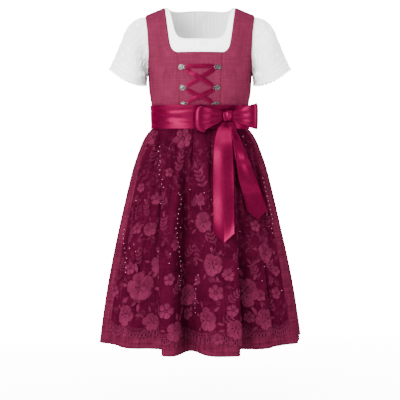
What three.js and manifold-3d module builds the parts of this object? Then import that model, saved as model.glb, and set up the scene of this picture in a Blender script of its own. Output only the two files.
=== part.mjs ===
// A girl's dirndl worn by nobody: a laced bodice and gathered skirt, a short blouse with lace
// sleeves under it, and an embroidered net apron tied at the waist with a wide satin bow.
// Millimetres, +Z up, the front faces -Y and the origin is at the height of the shoulders.

import * as THREE from "three";
import Module from "manifold-3d";
import { mergeVertices } from "three/addons/utils/BufferGeometryUtils.js";

const wasm = await Module();
wasm.setup();

// Cloth thicknesses, and the clearances between pieces
const BODICE_WALL = 1.8;
const BLOUSE_WALL = 1.0;
const BLOUSE_GAP = 0.95;
const SKIRT_WALL = 1.5;
const APRON_WALL = 1.2;
const APRON_GAP = 0.45;
const SASH_WALL = 1.5;
const RIBBON_WALL = 1.2;
const LACE_WALL = 1.0;
const LAY_GAP = 0.35;
const SEAM_GAP = 0.3;

// Heights, as levels below the shoulder line
const ARMHOLE_LEVEL = -148;
const BODICE_ARMHOLE_DROP = 2.5;
const NECK_LEVEL = -104;
const SASH_TOP = -212;
const WAIST_SEAM = -232;
const SASH_BOTTOM = -262;
const HEM_LEVEL = -716;
const BLOUSE_HEM = -158;
const BACK_NECK_LEVEL = -34;

// The filled-out body of the bodice: half width, and depth in front and behind, at each level
const FIGURE = [
  { level: 0, half: 128.5, front: 78, back: 62 },
  { level: -45, half: 121, front: 80, back: 68 },
  { level: -80, half: 117.5, front: 83, back: 72 },
  { level: -105, half: 114.5, front: 86, back: 74 },
  { level: -148, half: 109.5, front: 87, back: 75 },
  { level: -183, half: 107.4, front: 83, back: 72 },
  { level: -205, half: 103.6, front: 80, back: 70 },
  { level: -232, half: 101.6, front: 79, back: 70 },
  { level: -262, half: 102, front: 80, back: 72 },
];
const FIGURE_SQUARENESS = 2.4;
const SHOULDER = { turn: 80, neckX: 75, neckZ: -4, slope: 0.415, fade: 110 };

// Edges of the pieces: how far round from the side an armhole has come, or how far from
// the middle a neckline or seam lies, at each level
const ARMHOLE = [
  { level: 0, angle: 27 },
  { level: -8, angle: 26.85 },
  { level: -20, angle: 26.55 },
  { level: -35, angle: 26.1 },
  { level: -55, angle: 25.3 },
  { level: -80, angle: 23.8 },
  { level: -105, angle: 20.5 },
  { level: -125, angle: 13.5 },
  { level: -138, angle: 7.5 },
  { level: -145, angle: 3 },
  { level: ARMHOLE_LEVEL, angle: 0 },
];
const BODICE_ARMHOLE_IN = 1.0;
const FRONT_NECKLINE = [
  { level: 0, x: 75 },
  { level: -30, x: 70.5 },
  { level: -60, x: 66.5 },
  { level: -80, x: 63.5 },
  { level: -90, x: 61.3 },
  { level: -97, x: 58 },
  { level: -101, x: 54 },
  { level: -103, x: 50.2 },
  { level: NECK_LEVEL, x: 46.6 },
  { level: SASH_TOP, x: 41.7 },
  { level: WAIST_SEAM, x: 41 },
];
const BACK_NECKLINE = [
  { level: 0, x: 75 },
  { level: -6, x: 73 },
  { level: -14, x: 67 },
  { level: -23, x: 55 },
  { level: -30, x: 38 },
  { level: -33, x: 22 },
  { level: BACK_NECK_LEVEL, x: 0 },
];
const BLOUSE_FRONT_TOP = [
  { angle: 61.4, level: 0 },
  { angle: 64.4, level: -22 },
  { angle: 66, level: -42 },
  { angle: 67.9, level: -60 },
  { angle: 71, level: -71.5 },
  { angle: 76, level: -77 },
  { angle: 83, level: -78.6 },
  { angle: 90, level: -79 },
];
const BLOUSE_BACK_TOP = [
  { angle: 61.4, level: 0 },
  { angle: 64, level: -5 },
  { angle: 68, level: -9.5 },
  { angle: 74, level: -12.5 },
  { angle: 82, level: -14 },
  { angle: 90, level: -14.5 },
];

// The skirt: half width, depth in front and behind, and how square its section is
const SKIRT = [
  { level: WAIST_SEAM, half: 103.4, front: 80.8, back: 71.8, square: 2.4 },
  { level: SASH_BOTTOM, half: 103.8, front: 81.8, back: 73.8, square: 2.4 },
  { level: -267, half: 109, front: 87, back: 79, square: 2.35 },
  { level: -280, half: 116.5, front: 92, back: 84, square: 2.3 },
  { level: -300, half: 125.5, front: 97, back: 90, square: 2.2 },
  { level: -343, half: 141.5, front: 105, back: 101, square: 2.1 },
  { level: -400, half: 157.5, front: 113, back: 113, square: 2 },
  { level: -465, half: 173, front: 121, back: 124, square: 2 },
  { level: -535, half: 188, front: 129, back: 134, square: 2 },
  { level: -605, half: 201, front: 135, back: 143, square: 2 },
  { level: -665, half: 210, front: 139, back: 149, square: 2 },
  { level: HEM_LEVEL, half: 216.5, front: 142, back: 154, square: 2 },
];

// The folds that hang to the hem: where each starts under the sash and ends at the hem, in
// degrees round from the wearer's left side through the front at -90, its half width, the
// softness of its two flanks and its depth at the hem
const FOLDS = [
  { name: "front pleat", top: -120, hem: -103.6, half: 16, from: 5.5, to: 7, depth: 74 },
  { name: "front roll", top: -74, hem: -80.2, half: 30, from: 12, to: 4, depth: 74 },
  { name: "front side swell", top: -142, hem: -131, half: 24, from: 15, to: 12, depth: 17 },
  { name: "front far swell", top: -50, hem: -54, half: 22, from: 11, to: 14, depth: 15 },
  { name: "right hip", top: -22, hem: -24, half: 16, from: 12, to: 12, depth: 11 },
  { name: "left hip", top: -163, hem: -160, half: 16, from: 12, to: 12, depth: 11 },
  { name: "side back right", top: 18, hem: 20, half: 18, from: 10, to: 14, depth: 22 },
  { name: "back right", top: 48, hem: 45, half: 20, from: 12, to: 9, depth: 34 },
  { name: "back middle right", top: 76, hem: 72, half: 18, from: 9, to: 12, depth: 40 },
  { name: "back middle left", top: 101, hem: 103, half: 22, from: 12, to: 9, depth: 44 },
  { name: "back left", top: 130, hem: 133, half: 19, from: 9, to: 13, depth: 32 },
  { name: "side back left", top: 160, hem: 159, half: 17, from: 13, to: 10, depth: 20 },
];
const FOLD_GROWTH = 0.85;
const GATHERS = { count: 28, depth: 2.6, full: -285, gone: -430 };
const GORE_COLUMNS = 22;
const FLANK_CROWDING = 1.6;

// The apron over the front of the skirt, and the scallops of its hem
const APRON = {
  from: -152, to: -30, top: -263.8, cusp: -671, scallop: 13, scallops: 7, hemLift: 2.6,
};

// Seams between the gores, in degrees round the waist
const GORES = [
  { name: "skirt_front_left", from: -180, to: -90 },
  { name: "skirt_front_right", from: -90, to: 0 },
  { name: "skirt_back_right", from: 0, to: 90 },
  { name: "skirt_back_left", from: 90, to: 180 },
];

// The sleeve: the line along the top of the arm and the one along its inside, both in the
// plane of the shoulders, with the half depth from front to back
const SLEEVE = [
  { run: 0, topX: 116.9, topZ: -21.2, innerX: 109.2, innerZ: -147.3, depth: 43 },
  { run: 0.07, topX: 124, topZ: -22.6, innerX: 112.3, innerZ: -147, depth: 45 },
  { run: 0.2, topX: 141, topZ: -31, innerX: 113.5, innerZ: -149.6, depth: 50 },
  { run: 0.36, topX: 156.4, topZ: -48, innerX: 113.9, innerZ: -154, depth: 55 },
  { run: 0.55, topX: 169, topZ: -77.6, innerX: 114, innerZ: -158, depth: 57 },
  { run: 0.8, topX: 186, topZ: -115, innerX: 114, innerZ: -163.5, depth: 55.5 },
  { run: 1, topX: 195, topZ: -134, innerX: 114, innerZ: -168, depth: 53 },
];
const SLEEVE_STEPS = [0, 0.04, 0.1, 0.22, 0.37, 0.55, 0.78, 1];
const SLEEVE_SIDES = 28;
const SLEEVE_START = 0.95;
const SLEEVE_SAG = 9;
const SLEEVE_SCALLOP = 1.8;
const SLEEVE_GATHER = 1.1;

// The bow: the knot, its two loops and the two ends that hang on the apron
const KNOT = { x: 56.4, y: -88.1, z: -236, halfX: 10.6, halfY: 11.2, halfZ: 12.6 };
const LOOPS = [
  {
    name: "bow_loop_left", side: -1, reach: 58, endZ: -242, endTall: 58, knotTall: 17,
    front: 17, rear: 4, backward: -7, bend: 1, droop: -3, roundness: 0.72,
  },
  {
    name: "bow_loop_right", side: 1, reach: 53, endZ: -236.5, endTall: 52, knotTall: 16,
    front: 14, rear: 6, backward: 8, bend: 2, droop: 1, roundness: 0.5,
  },
];
const TAIL_LEFT = [
  { run: 0, x: 50.6, z: -248.9, half: 5.6, off: 0 },
  { run: 0.08, x: 49, z: -262, half: 12, off: 4 },
  { run: 0.2, x: 48, z: -290, half: 18, off: 7 },
  { run: 0.42, x: 47.5, z: -345, half: 20.5, off: 7 },
  { run: 0.7, x: 48, z: -412, half: 21, off: 5 },
  { run: 1, x: 48.2, z: -474, half: 21, off: 4 },
];
const TAIL_RIGHT = [
  { run: 0, x: 62.8, z: -248.9, half: 5.2, off: 0 },
  { run: 0.1, x: 67, z: -266, half: 9, off: 4 },
  { run: 0.3, x: 79, z: -306, half: 14, off: 9 },
  { run: 0.6, x: 96, z: -360, half: 18, off: 9 },
  { run: 1, x: 119, z: -431, half: 21, off: 6 },
];
const TAIL_CLEAR = 1.2;
const TAIL_STEPS = 9;
const TAIL_POINT = 19;
const TAIL_CURL = 2.4;

// Lacing: where the hooks sit on the two front seams, and the ribbon between them
const HOOK = { radius: 5.9, thick: 1.9, loopOut: 5.6, loopRadius: 3.1, loopWire: 0.8 };
const HOOK_ROWS = [
  { name: "top", x: 38, z: -135 },
  { name: "middle", x: 36, z: -177 },
  { name: "bottom", x: 34, z: -211.5 },
];
const LACE_HALF = 4.6;
const LACE_PASS = 1.5;
const LACE_LIFT = 0.6;

const NECK_BOW = { x: 8, level: -87, half: 6.2, tall: 3.4, thick: 1.4 };
const LABEL = { halfWidth: 7.4, top: -18.5, bottom: -32.5, gap: 0.8 };

const COLOURS = {
  bodice: { color: 0xa64260, roughness: 0.8 },
  skirt: { color: 0x962850, roughness: 0.8 },
  apron: { color: 0x6a1230, roughness: 0.75 },
  satin: { color: 0xb22d5c, roughness: 0.35 },
  cotton: { color: 0xeeeeee, roughness: 0.85 },
  lace: { color: 0xf2f2f2, roughness: 0.8 },
  silver: { color: 0xb8b8ba, roughness: 0.35, metalness: 1 },
};

const part = new THREE.Group();

function addPiece(name, geometry, finish) {
  const material = new THREE.MeshStandardMaterial({ metalness: 0, ...COLOURS[finish] });
  const mesh = new THREE.Mesh(geometry, material);
  mesh.name = name;
  part.add(mesh);
  return mesh;
}

const clamp = THREE.MathUtils.clamp;
const lerp = THREE.MathUtils.lerp;
const radians = THREE.MathUtils.degToRad;
const degrees = THREE.MathUtils.radToDeg;
const smooth = (value, from, to) => THREE.MathUtils.smoothstep(value, from, to);
const steps = (count) => Array.from({ length: count + 1 }, (_, i) => i / count);

// A smooth value read from a table whose `key` column rises or falls all the way
function readTable(table, key, column, at) {
  const rising = table[table.length - 1][key] > table[0][key];
  const rows = rising ? table : [...table].reverse();
  const last = rows.length - 2;
  let i = 0;
  while (i < last && at > rows[i + 1][key]) i += 1;
  const slope = (j) => {
    const before = rows[Math.max(j - 1, 0)];
    const after = rows[Math.min(j + 1, last + 1)];
    return (after[column] - before[column]) / (after[key] - before[key]);
  };
  const width = rows[i + 1][key] - rows[i][key];
  const f = clamp((at - rows[i][key]) / width, 0, 1);
  const [a, b] = [rows[i][column], rows[i + 1][column]];
  const [fromSlope, toSlope] = [slope(i) * width, slope(i + 1) * width];
  const f2 = f * f;
  const f3 = f2 * f;
  return (
    (2 * f3 - 3 * f2 + 1) * a + (f3 - 2 * f2 + f) * fromSlope +
    (3 * f2 - 2 * f3) * b + (f3 - f2) * toSlope
  );
}

// A closed wall between an outer and an inner skin, each a list of rows of points
function wallGeometry(outer, inner, goesRound = false) {
  const rows = outer.length;
  const columns = outer[0].length;
  const points = [...outer.flat(), ...inner.flat()];
  const out = (r, c) => r * columns + (c % columns);
  const back = (r, c) => rows * columns + out(r, c);
  const index = [];
  const quad = (a, b, c, d) => index.push(a, b, c, a, c, d);
  const spans = goesRound ? columns : columns - 1;
  const top = rows - 1;
  for (let c = 0; c < spans; c += 1) {
    for (let r = 0; r < top; r += 1) {
      quad(out(r, c), out(r, c + 1), out(r + 1, c + 1), out(r + 1, c));
      quad(back(r, c), back(r + 1, c), back(r + 1, c + 1), back(r, c + 1));
    }
    quad(out(0, c), back(0, c), back(0, c + 1), out(0, c + 1));
    quad(out(top, c), out(top, c + 1), back(top, c + 1), back(top, c));
  }
  for (let r = 0; r < top && !goesRound; r += 1) {
    quad(out(r, 0), out(r + 1, 0), back(r + 1, 0), back(r, 0));
    quad(out(r, spans), back(r, spans), back(r + 1, spans), out(r + 1, spans));
  }
  return closedGeometry(points, index);
}

// A geometry whose faces point outwards, whichever way round its points were listed
function closedGeometry(points, index) {
  let volume = 0;
  for (let i = 0; i < index.length; i += 3) {
    const [a, b, c] = [points[index[i]], points[index[i + 1]], points[index[i + 2]]];
    volume += a.dot(new THREE.Vector3().crossVectors(b, c));
  }
  if (volume < 0) index.reverse();
  const geometry = new THREE.BufferGeometry();
  const flat = points.flatMap((p) => [p.x, p.y, p.z]);
  geometry.setAttribute("position", new THREE.Float32BufferAttribute(flat, 3));
  geometry.setIndex(index);
  return geometry;
}

// A wall made by asking `at(row, column, distance out)` for both of its skins
function wallOver(rows, columns, at, from, to, goesRound = false) {
  const skin = (out) => rows.map((r) => columns.map((c) => at(r, c, out)));
  return wallGeometry(skin(to), skin(from), goesRound);
}

// The point moved out from a surface along the surface's own normal
function movedOut(surface, a, b, out, stepA, stepB) {
  const alongA = surface(a + stepA, b).sub(surface(a - stepA, b));
  const alongB = surface(a, b + stepB).sub(surface(a, b - stepB));
  const normal = new THREE.Vector3().crossVectors(alongB, alongA).normalize();
  return surface(a, b).addScaledVector(normal, out);
}

function mirrored(geometry) {
  const copy = geometry.clone();
  copy.scale(-1, 1, 1);
  const index = [...copy.index.array].reverse();
  copy.setIndex(index);
  return copy;
}

// Figure: the smooth form that the bodice, blouse and sash lie on. `turn` is in degrees,
// -90 at the front and 90 at the back. `reach` is 0 on the shoulder line, 1 where the
// shoulder has rounded over into the front or back, and goes on down from there.
const power = (value, exponent) => Math.sign(value) * Math.abs(value) ** exponent;
const QUARTER = Math.PI / 2;

function levelOf(reach) {
  if (Math.abs(reach) <= 1) return -SHOULDER.turn * (1 - Math.cos(QUARTER * reach));
  return -SHOULDER.turn - (reach - 1) * SHOULDER.turn * QUARTER;
}

function reachOf(level) {
  if (level > -SHOULDER.turn) return Math.acos(clamp(1 + level / SHOULDER.turn, -1, 1)) / QUARTER;
  return 1 + (-level - SHOULDER.turn) / (SHOULDER.turn * QUARTER);
}

function shoulderHeight(x) {
  const inside = SHOULDER.neckX - Math.abs(x);
  const level = inside > 0 ? inside * (1 - inside / (2 * SHOULDER.neckX)) : inside;
  return SHOULDER.neckZ + SHOULDER.slope * level;
}

function figurePoint(turn, reach) {
  const level = levelOf(reach);
  const angle = radians(turn);
  const exponent = 2 / FIGURE_SQUARENESS;
  const depth = readTable(FIGURE, "level", Math.sin(angle) < 0 ? "front" : "back", level);
  const rounding = Math.sin(QUARTER * clamp(reach, -1, 1));
  const x = readTable(FIGURE, "level", "half", level) * power(Math.cos(angle), exponent);
  const y = depth * power(Math.sin(angle), exponent) * rounding;
  const fade = clamp(1 + level / SHOULDER.fade, 0, 1);
  return new THREE.Vector3(x, y, level + shoulderHeight(x) * fade);
}

const onFigure = (turn, level, out) => movedOut(figurePoint, turn, reachOf(level), out, 0.4, 0.004);

// The angle in front of the side at which the figure's half width has come in to x
function angleAtX(x, level) {
  const share = clamp(Math.abs(x) / readTable(FIGURE, "level", "half", level), 0, 1);
  return degrees(Math.acos(share ** (FIGURE_SQUARENESS / 2)));
}

// Bodice: a middle front between the two laced seams, sides with the straps, and two backs
function armholeAngle(level) {
  if (level <= ARMHOLE_LEVEL) return 0;
  return readTable(ARMHOLE, "level", "angle", level);
}

// The level at which the armhole's edge has come round to an angle
function armholeLevel(angle) {
  let [low, high] = [ARMHOLE_LEVEL, 0];
  for (let i = 0; i < 20; i += 1) {
    const middle = (low + high) / 2;
    if (armholeAngle(middle) < angle) low = middle;
    else high = middle;
  }
  return low;
}

const halfSeam = SEAM_GAP / 2;
const seamTurn = degrees(halfSeam / FIGURE[0].front);
const sideSeamTurn = 0.12;

function bodiceArmhole(level) {
  const opened = armholeAngle(level + BODICE_ARMHOLE_DROP);
  return opened > 0 ? opened + BODICE_ARMHOLE_IN : sideSeamTurn;
}

function bodiceFrontSide() {
  const levels = [
    WAIST_SEAM, -205, -178, -150.8, -147.5, -139, -122,
    NECK_LEVEL, -102.6, -99.5, -92, -78, -60, -44, -30, -18, -9, -3, 0,
  ];
  const at = (level, across, out) => {
    const x = readTable(FRONT_NECKLINE, "level", "x", level) + halfSeam;
    const turn = lerp(angleAtX(x, level), bodiceArmhole(level), across);
    return onFigure(-turn, level, out);
  };
  return wallOver(levels, steps(7), at, 0, BODICE_WALL);
}

function bodiceFrontMiddle() {
  const levels = [WAIST_SEAM, -212, -190, -168, -146, -124, NECK_LEVEL];
  const at = (level, across, out) => {
    const x = readTable(FRONT_NECKLINE, "level", "x", level) - halfSeam;
    const halfTurn = 90 - angleAtX(x, level);
    return onFigure(-90 + lerp(-halfTurn, halfTurn, across), level, out);
  };
  return wallOver(levels, steps(8), at, 0, BODICE_WALL);
}

function bodiceBack() {
  const levels = [
    WAIST_SEAM, -205, -178, -150.8, -147.5, -139, -122,
    -98, -72, -51, BACK_NECK_LEVEL, -33, -28, -19, -10, -3, 0,
  ];
  const at = (level, across, out) => {
    const x = level > BACK_NECK_LEVEL ? readTable(BACK_NECKLINE, "level", "x", level) : 0;
    const inner = Math.min(angleAtX(x, level), 90 - seamTurn);
    return onFigure(lerp(inner, bodiceArmhole(level), across), level, out);
  };
  return wallOver(levels, steps(8), at, 0, BODICE_WALL);
}

// The two straps meet at the shoulder seam, so the back stops short of it
function shortOfShoulder(geometry) {
  const place = geometry.attributes.position;
  for (let i = 0; i < place.count; i += 1) {
    if (place.getY(i) > -SEAM_GAP && place.getY(i) < SEAM_GAP * 2 && place.getZ(i) > -60) {
      place.setY(i, Math.max(place.getY(i), 0) + SEAM_GAP);
    }
  }
  return geometry;
}

function buildBodice() {
  const side = bodiceFrontSide();
  const back = shortOfShoulder(bodiceBack());
  addPiece("bodice_front_middle", bodiceFrontMiddle(), "bodice");
  addPiece("bodice_front_right", side, "bodice");
  addPiece("bodice_front_left", mirrored(side), "bodice");
  addPiece("bodice_back_right", back, "bodice");
  addPiece("bodice_back_left", mirrored(back), "bodice");
}

// Blouse: a front and a back that end under the bust, each from armhole to armhole
const BLOUSE_OUT = -BLOUSE_GAP;
const BLOUSE_IN = -BLOUSE_GAP - BLOUSE_WALL;

function blouseTop(fromSide, neckline) {
  if (fromSide < ARMHOLE[0].angle) return armholeLevel(fromSide);
  if (fromSide < neckline[0].angle) return 0;
  return readTable(neckline, "angle", "level", fromSide);
}

function blousePanel(facing, neckline) {
  const edge = ARMHOLE[0].angle;
  const fromSide = [
    sideSeamTurn, 4, 9, 14, 18, 21, 23.3, 24.8, 25.8, 26.3, 26.6, 26.85, edge,
    38, 50, 61.4, 64, 67, 71, 78,
  ];
  const turns = [
    ...fromSide.map((a) => -180 + a), -90, ...fromSide.map((a) => -a).reverse(),
  ].map((turn) => turn * facing);
  const at = (rise, turn, out) => {
    const away = Math.abs(turn) > 90 ? 180 - Math.abs(turn) : Math.abs(turn);
    const lowest = reachOf(BLOUSE_HEM);
    const reach = lerp(lowest, reachOf(blouseTop(away, neckline)), rise);
    return movedOut(figurePoint, turn, reach, out, 0.4, 0.004);
  };
  const rises = steps(9).map((f) => f ** 0.75);
  return wallOver(rises, turns, at, BLOUSE_IN, BLOUSE_OUT);
}

// Sleeve: a short puff gathered into the armhole, with a scalloped lace hem
function armholeRing(around) {
  const front = Math.sin(around) >= 0;
  const level = (ARMHOLE_LEVEL * (1 - Math.cos(around))) / 2;
  const turn = armholeAngle(level) * (front ? -1 : 1);
  const edge = onFigure(turn, level, BLOUSE_OUT);
  const middle = new THREE.Vector3(edge.x + 1, 0, ARMHOLE_LEVEL / 2);
  const inward = middle.sub(edge).normalize();
  return edge.addScaledVector(inward, SLEEVE_START);
}

function sleevePoint(run, around) {
  const read = (column) => readTable(SLEEVE, "run", column, run);
  const up = (1 + Math.cos(around)) / 2;
  const topRun = clamp(run, 0, 1);
  const hang = SLEEVE_SAG * topRun ** 2 * Math.sin(around) ** 2;
  const x = lerp(read("innerX"), read("topX"), up);
  const z = lerp(read("innerZ"), read("topZ"), up) - hang;
  const ring = new THREE.Vector3(x, -read("depth") * Math.sin(around), z);
  const start = armholeRing(around);
  start.x += lerp(read("innerX") - SLEEVE[0].innerX, read("topX") - SLEEVE[0].topX, up);
  start.z += lerp(read("innerZ") - SLEEVE[0].innerZ, read("topZ") - SLEEVE[0].topZ, up);
  start.lerp(ring, smooth(topRun, 0, 0.5));
  const gathered = SLEEVE_GATHER * smooth(topRun, 0.02, 0.14) * (1 - smooth(topRun, 0.2, 0.55));
  const outward = new THREE.Vector3(0, -Math.sin(around), Math.cos(around));
  return start.addScaledVector(outward, gathered * up * Math.sin(9 * around + 0.6));
}

function sleeveGeometry() {
  const sides = steps(SLEEVE_SIDES).slice(0, -1).map((f) => f * 2 * Math.PI);
  const at = (run, around, out) => {
    const point = movedOut((r, a) => sleevePoint(clamp(r, 0, 1), a), run, around, out, 0.01, 0.02);
    const scallop = run === 1 ? SLEEVE_SCALLOP * Math.cos((around * SLEEVE_SIDES) / 2) : 0;
    return point.setZ(point.z - scallop);
  };
  return wallOver(SLEEVE_STEPS, sides, at, -BLOUSE_WALL, 0, true);
}

function buildBlouse() {
  const back = shortOfShoulder(blousePanel(-1, BLOUSE_BACK_TOP));
  addPiece("blouse_front", blousePanel(1, BLOUSE_FRONT_TOP), "cotton");
  addPiece("blouse_back", back, "cotton");
  const sleeve = sleeveGeometry();
  addPiece("sleeve_right", sleeve, "lace");
  addPiece("sleeve_left", mirrored(sleeve), "lace");
}

// Skirt: rings of the section table, pushed out by the gathers and the hanging folds
function foldDepth(turn, level) {
  const drop = clamp((SASH_BOTTOM - level) / (SASH_BOTTOM - HEM_LEVEL), 0, 1);
  const half = readTable(SKIRT, "level", "half", level);
  let depth = 0;
  for (const fold of FOLDS) {
    const perDegree = radians((half + readTable(SKIRT, "level", "front", level)) / 2);
    const middle = lerp(fold.top, fold.hem, drop ** 0.6);
    const away = (((turn - middle + 540) % 360) - 180) * perDegree;
    const rise = Math.tanh((away + fold.half) / fold.from);
    const fall = Math.tanh((away - fold.half) / fold.to);
    depth += (fold.depth * drop ** FOLD_GROWTH * (rise - fall)) / 2;
  }
  return depth;
}

function gatherDepth(turn, level) {
  const opening = smooth(-level, -SASH_BOTTOM, -GATHERS.full);
  const closing = 1 - smooth(-level, -GATHERS.full, -GATHERS.gone);
  const angle = radians(turn);
  const uneven = 0.9 * Math.sin(3 * angle + 0.4) + 0.6 * Math.sin(5 * angle + 2);
  return GATHERS.depth * opening * closing * Math.sin(GATHERS.count * angle + uneven);
}

function skirtSurface(turn, level) {
  const angle = radians(turn);
  const read = (column) => readTable(SKIRT, "level", column, level);
  const exponent = 2 / read("square");
  const depth = read(Math.sin(angle) < 0 ? "front" : "back");
  const x = read("half") * power(Math.cos(angle), exponent);
  const y = depth * power(Math.sin(angle), exponent);
  const pushed = foldDepth(turn, level) + gatherDepth(turn, level);
  const flare = new THREE.Vector2(Math.cos(angle) * depth, Math.sin(angle) * read("half"));
  flare.normalize().multiplyScalar(pushed);
  return new THREE.Vector3(x + flare.x, y + flare.y, level);
}

const SKIRT_LEVELS = SKIRT.map((row) => row.level);

// Between two rings the cloth runs straight, so what lies on the skirt stays parallel to it
function onSkirt(level, turn, out) {
  let i = 0;
  while (i < SKIRT_LEVELS.length - 2 && level < SKIRT_LEVELS[i + 1]) i += 1;
  const [high, low] = [SKIRT_LEVELS[i], SKIRT_LEVELS[i + 1]];
  const ring = (at) => movedOut(skirtSurface, turn, at, out, 0.25, -1.5);
  return ring(high).lerp(ring(low), (high - level) / (high - low));
}

// Columns round one gore, crowded where a fold turns sharply at the hem
function goreColumns(from, to) {
  const count = 360;
  const turns = Array.from({ length: count + 1 }, (_, i) => lerp(from, to, i / count));
  const weights = turns.slice(1).map((turn, i) => {
    const middle = (turn + turns[i]) / 2;
    const change = foldDepth(middle + 0.5, HEM_LEVEL) - foldDepth(middle - 0.5, HEM_LEVEL);
    return 1 + Math.min(Math.abs(change) / 3, FLANK_CROWDING);
  });
  const total = weights.reduce((sum, w) => sum + w, 0);
  const columns = [from];
  let passed = 0;
  weights.forEach((weight, i) => {
    passed += weight;
    if (passed >= (total * columns.length) / GORE_COLUMNS - 1e-6) columns.push(turns[i + 1]);
  });
  columns[GORE_COLUMNS] = to;
  return columns;
}

function seamed(columns) {
  const short = degrees(halfSeam / SKIRT[0].front);
  const last = columns.length - 1;
  return columns.map((turn, i) => turn + (i === 0 ? short : 0) - (i === last ? short : 0));
}

function buildSkirt() {
  for (const gore of GORES) {
    const columns = seamed(goreColumns(gore.from, gore.to));
    const levels = [WAIST_SEAM - SEAM_GAP, ...SKIRT_LEVELS.slice(1)];
    addPiece(gore.name, wallOver(levels, columns, onSkirt, -SKIRT_WALL, 0), "skirt");
  }
}

// Apron: one gathered width on the front of the skirt, with scallops along its hem
function apronColumns() {
  const front = [...goreColumns(-180, -90), ...goreColumns(-90, 0).slice(1)];
  return front.filter((turn) => turn >= APRON.from && turn <= APRON.to);
}

function apronHem(turn) {
  const across = (turn - APRON.from) / (APRON.to - APRON.from);
  return APRON.cusp - APRON.scallop * Math.abs(Math.sin(Math.PI * APRON.scallops * across)) ** 0.8;
}

function buildApron() {
  const levels = [APRON.top, ...SKIRT_LEVELS.filter((l) => l < APRON.top && l > APRON.cusp)];
  const last = levels.length;
  const rows = Array.from({ length: last + 1 }, (_, i) => i);
  const at = (row, turn, out) => {
    if (row < last) return onSkirt(levels[row], turn, out);
    return onSkirt(apronHem(turn), turn, out + APRON.hemLift);
  };
  const geometry = wallOver(rows, apronColumns(), at, APRON_GAP, APRON_GAP + APRON_WALL);
  addPiece("apron_panel", geometry, "apron");
}

// Sash: a band round the waist that rides over the lowest hooks in front
function sashAt(level, turn, out) {
  const overHooks = 2.6 * smooth(level, -240, SASH_TOP) * smooth(-Math.sin(radians(turn)), 0.2, 0.8);
  const crease = 0.35 * Math.sin(9 * radians(turn) + level / 9);
  return onFigure(turn, level, BODICE_WALL + 0.9 + overHooks + crease + out);
}

function buildSash() {
  const levels = [SASH_BOTTOM, -246, -229, SASH_TOP];
  for (const [name, from] of [["sash_front", -180], ["sash_back", 0]]) {
    const turns = seamed(steps(22).map((f) => from + 180 * f));
    addPiece(name, wallOver(levels, turns, sashAt, 0, SASH_WALL), "satin");
  }
}

// Bow
function frontOfSkirt(x, level) {
  let [from, to] = [-175, -5];
  for (let i = 0; i < 14; i += 1) {
    const middle = (from + to) / 2;
    if (skirtSurface(middle, level).x < x) from = middle;
    else to = middle;
  }
  return skirtSurface(from, level).y - APRON_GAP - APRON_WALL;
}

// The ribbon's end bridges the hollows of the skirt, so it takes the most forward place near it
function tailDepth(x, z, half) {
  const near = [-1, 0, 1].map((f) => frontOfSkirt(x + f * half, z));
  return Math.min(...near) - TAIL_CLEAR;
}

function tailGeometry(table) {
  const surface = (run, across) => {
    const read = (column) => readTable(table, "run", column, clamp(run, 0, 1));
    const half = read("half");
    const x = read("x") + across * half;
    const point = TAIL_POINT * smooth(run, 0.86, 1) * (1 - Math.abs(across));
    const z = read("z") - point;
    const level = Math.min(read("z"), SASH_BOTTOM - 1);
    const lying = tailDepth(read("x"), level, half) - read("off");
    const y = lerp(KNOT.y + 2, lying, smooth(run, 0, 0.16));
    const curl = TAIL_CURL * smooth(run, 0.05, 0.4) * (Math.cos(Math.PI * across) + 0.4 * across);
    return new THREE.Vector3(x, y - curl, z);
  };
  const at = (run, across, out) => movedOut(surface, run, across, out, 0.01, 0.1);
  const across = [-1, -0.6, -0.2, 0.2, 0.6, 1];
  return wallOver(steps(TAIL_STEPS), across, at, 0, RIBBON_WALL);
}

function loopGeometry(loop) {
  const surface = (run, across) => {
    const away = Math.sin(Math.PI * clamp(run, 0, 1)) ** loop.roundness;
    const start = KNOT.x + loop.side * (KNOT.halfX + SEAM_GAP);
    const x = start + loop.side * loop.reach * away;
    const swell = run < 0.5 ? loop.front : loop.rear;
    const apart = lerp(4, swell, Math.sin(Math.PI * clamp(run, 0, 1)));
    const tall = lerp(loop.knotTall, loop.endTall, away ** 0.8);
    const crease = 1.6 * (1 - away) * Math.sin(Math.PI * 1.5 * across + run);
    const y = KNOT.y + loop.backward * away ** loop.bend - apart * Math.cos(Math.PI * run) + crease;
    const z = lerp(KNOT.z, loop.endZ, away) + (across * tall) / 2;
    return new THREE.Vector3(x, y, z + loop.droop * away * Math.cos(Math.PI * run));
  };
  const at = (run, across, out) => movedOut(surface, run, across, out, 0.012, 0.05);
  const across = [-1, -0.62, -0.2, 0.2, 0.62, 1];
  return wallOver(steps(12), across, at, 0, loop.side * RIBBON_WALL);
}

// The knot is one turn of ribbon pulled into a barrel with a few soft folds
function knotGeometry() {
  const knot = new THREE.SphereGeometry(1, 12, 8);
  const place = knot.attributes.position;
  for (let i = 0; i < place.count; i += 1) {
    const p = new THREE.Vector3().fromBufferAttribute(place, i);
    const fold = 1 + 0.05 * Math.sin(7 * p.x + 1.5);
    place.setXYZ(
      i,
      KNOT.x + KNOT.halfX * power(p.x, 0.8) * fold,
      KNOT.y + KNOT.halfY * power(p.y, 0.85),
      KNOT.z + KNOT.halfZ * power(p.z, 0.8),
    );
  }
  return weldedGeometry(knot);
}

function weldedGeometry(geometry) {
  const bare = geometry.clone();
  bare.deleteAttribute("normal");
  bare.deleteAttribute("uv");
  return mergeVertices(bare, 1e-3);
}

function buildBow() {
  addPiece("bow_knot", knotGeometry(), "satin");
  for (const loop of LOOPS) addPiece(loop.name, loopGeometry(loop), "satin");
  addPiece("bow_tail_left", tailGeometry(TAIL_LEFT), "satin");
  addPiece("bow_tail_right", tailGeometry(TAIL_RIGHT), "satin");
}

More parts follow.
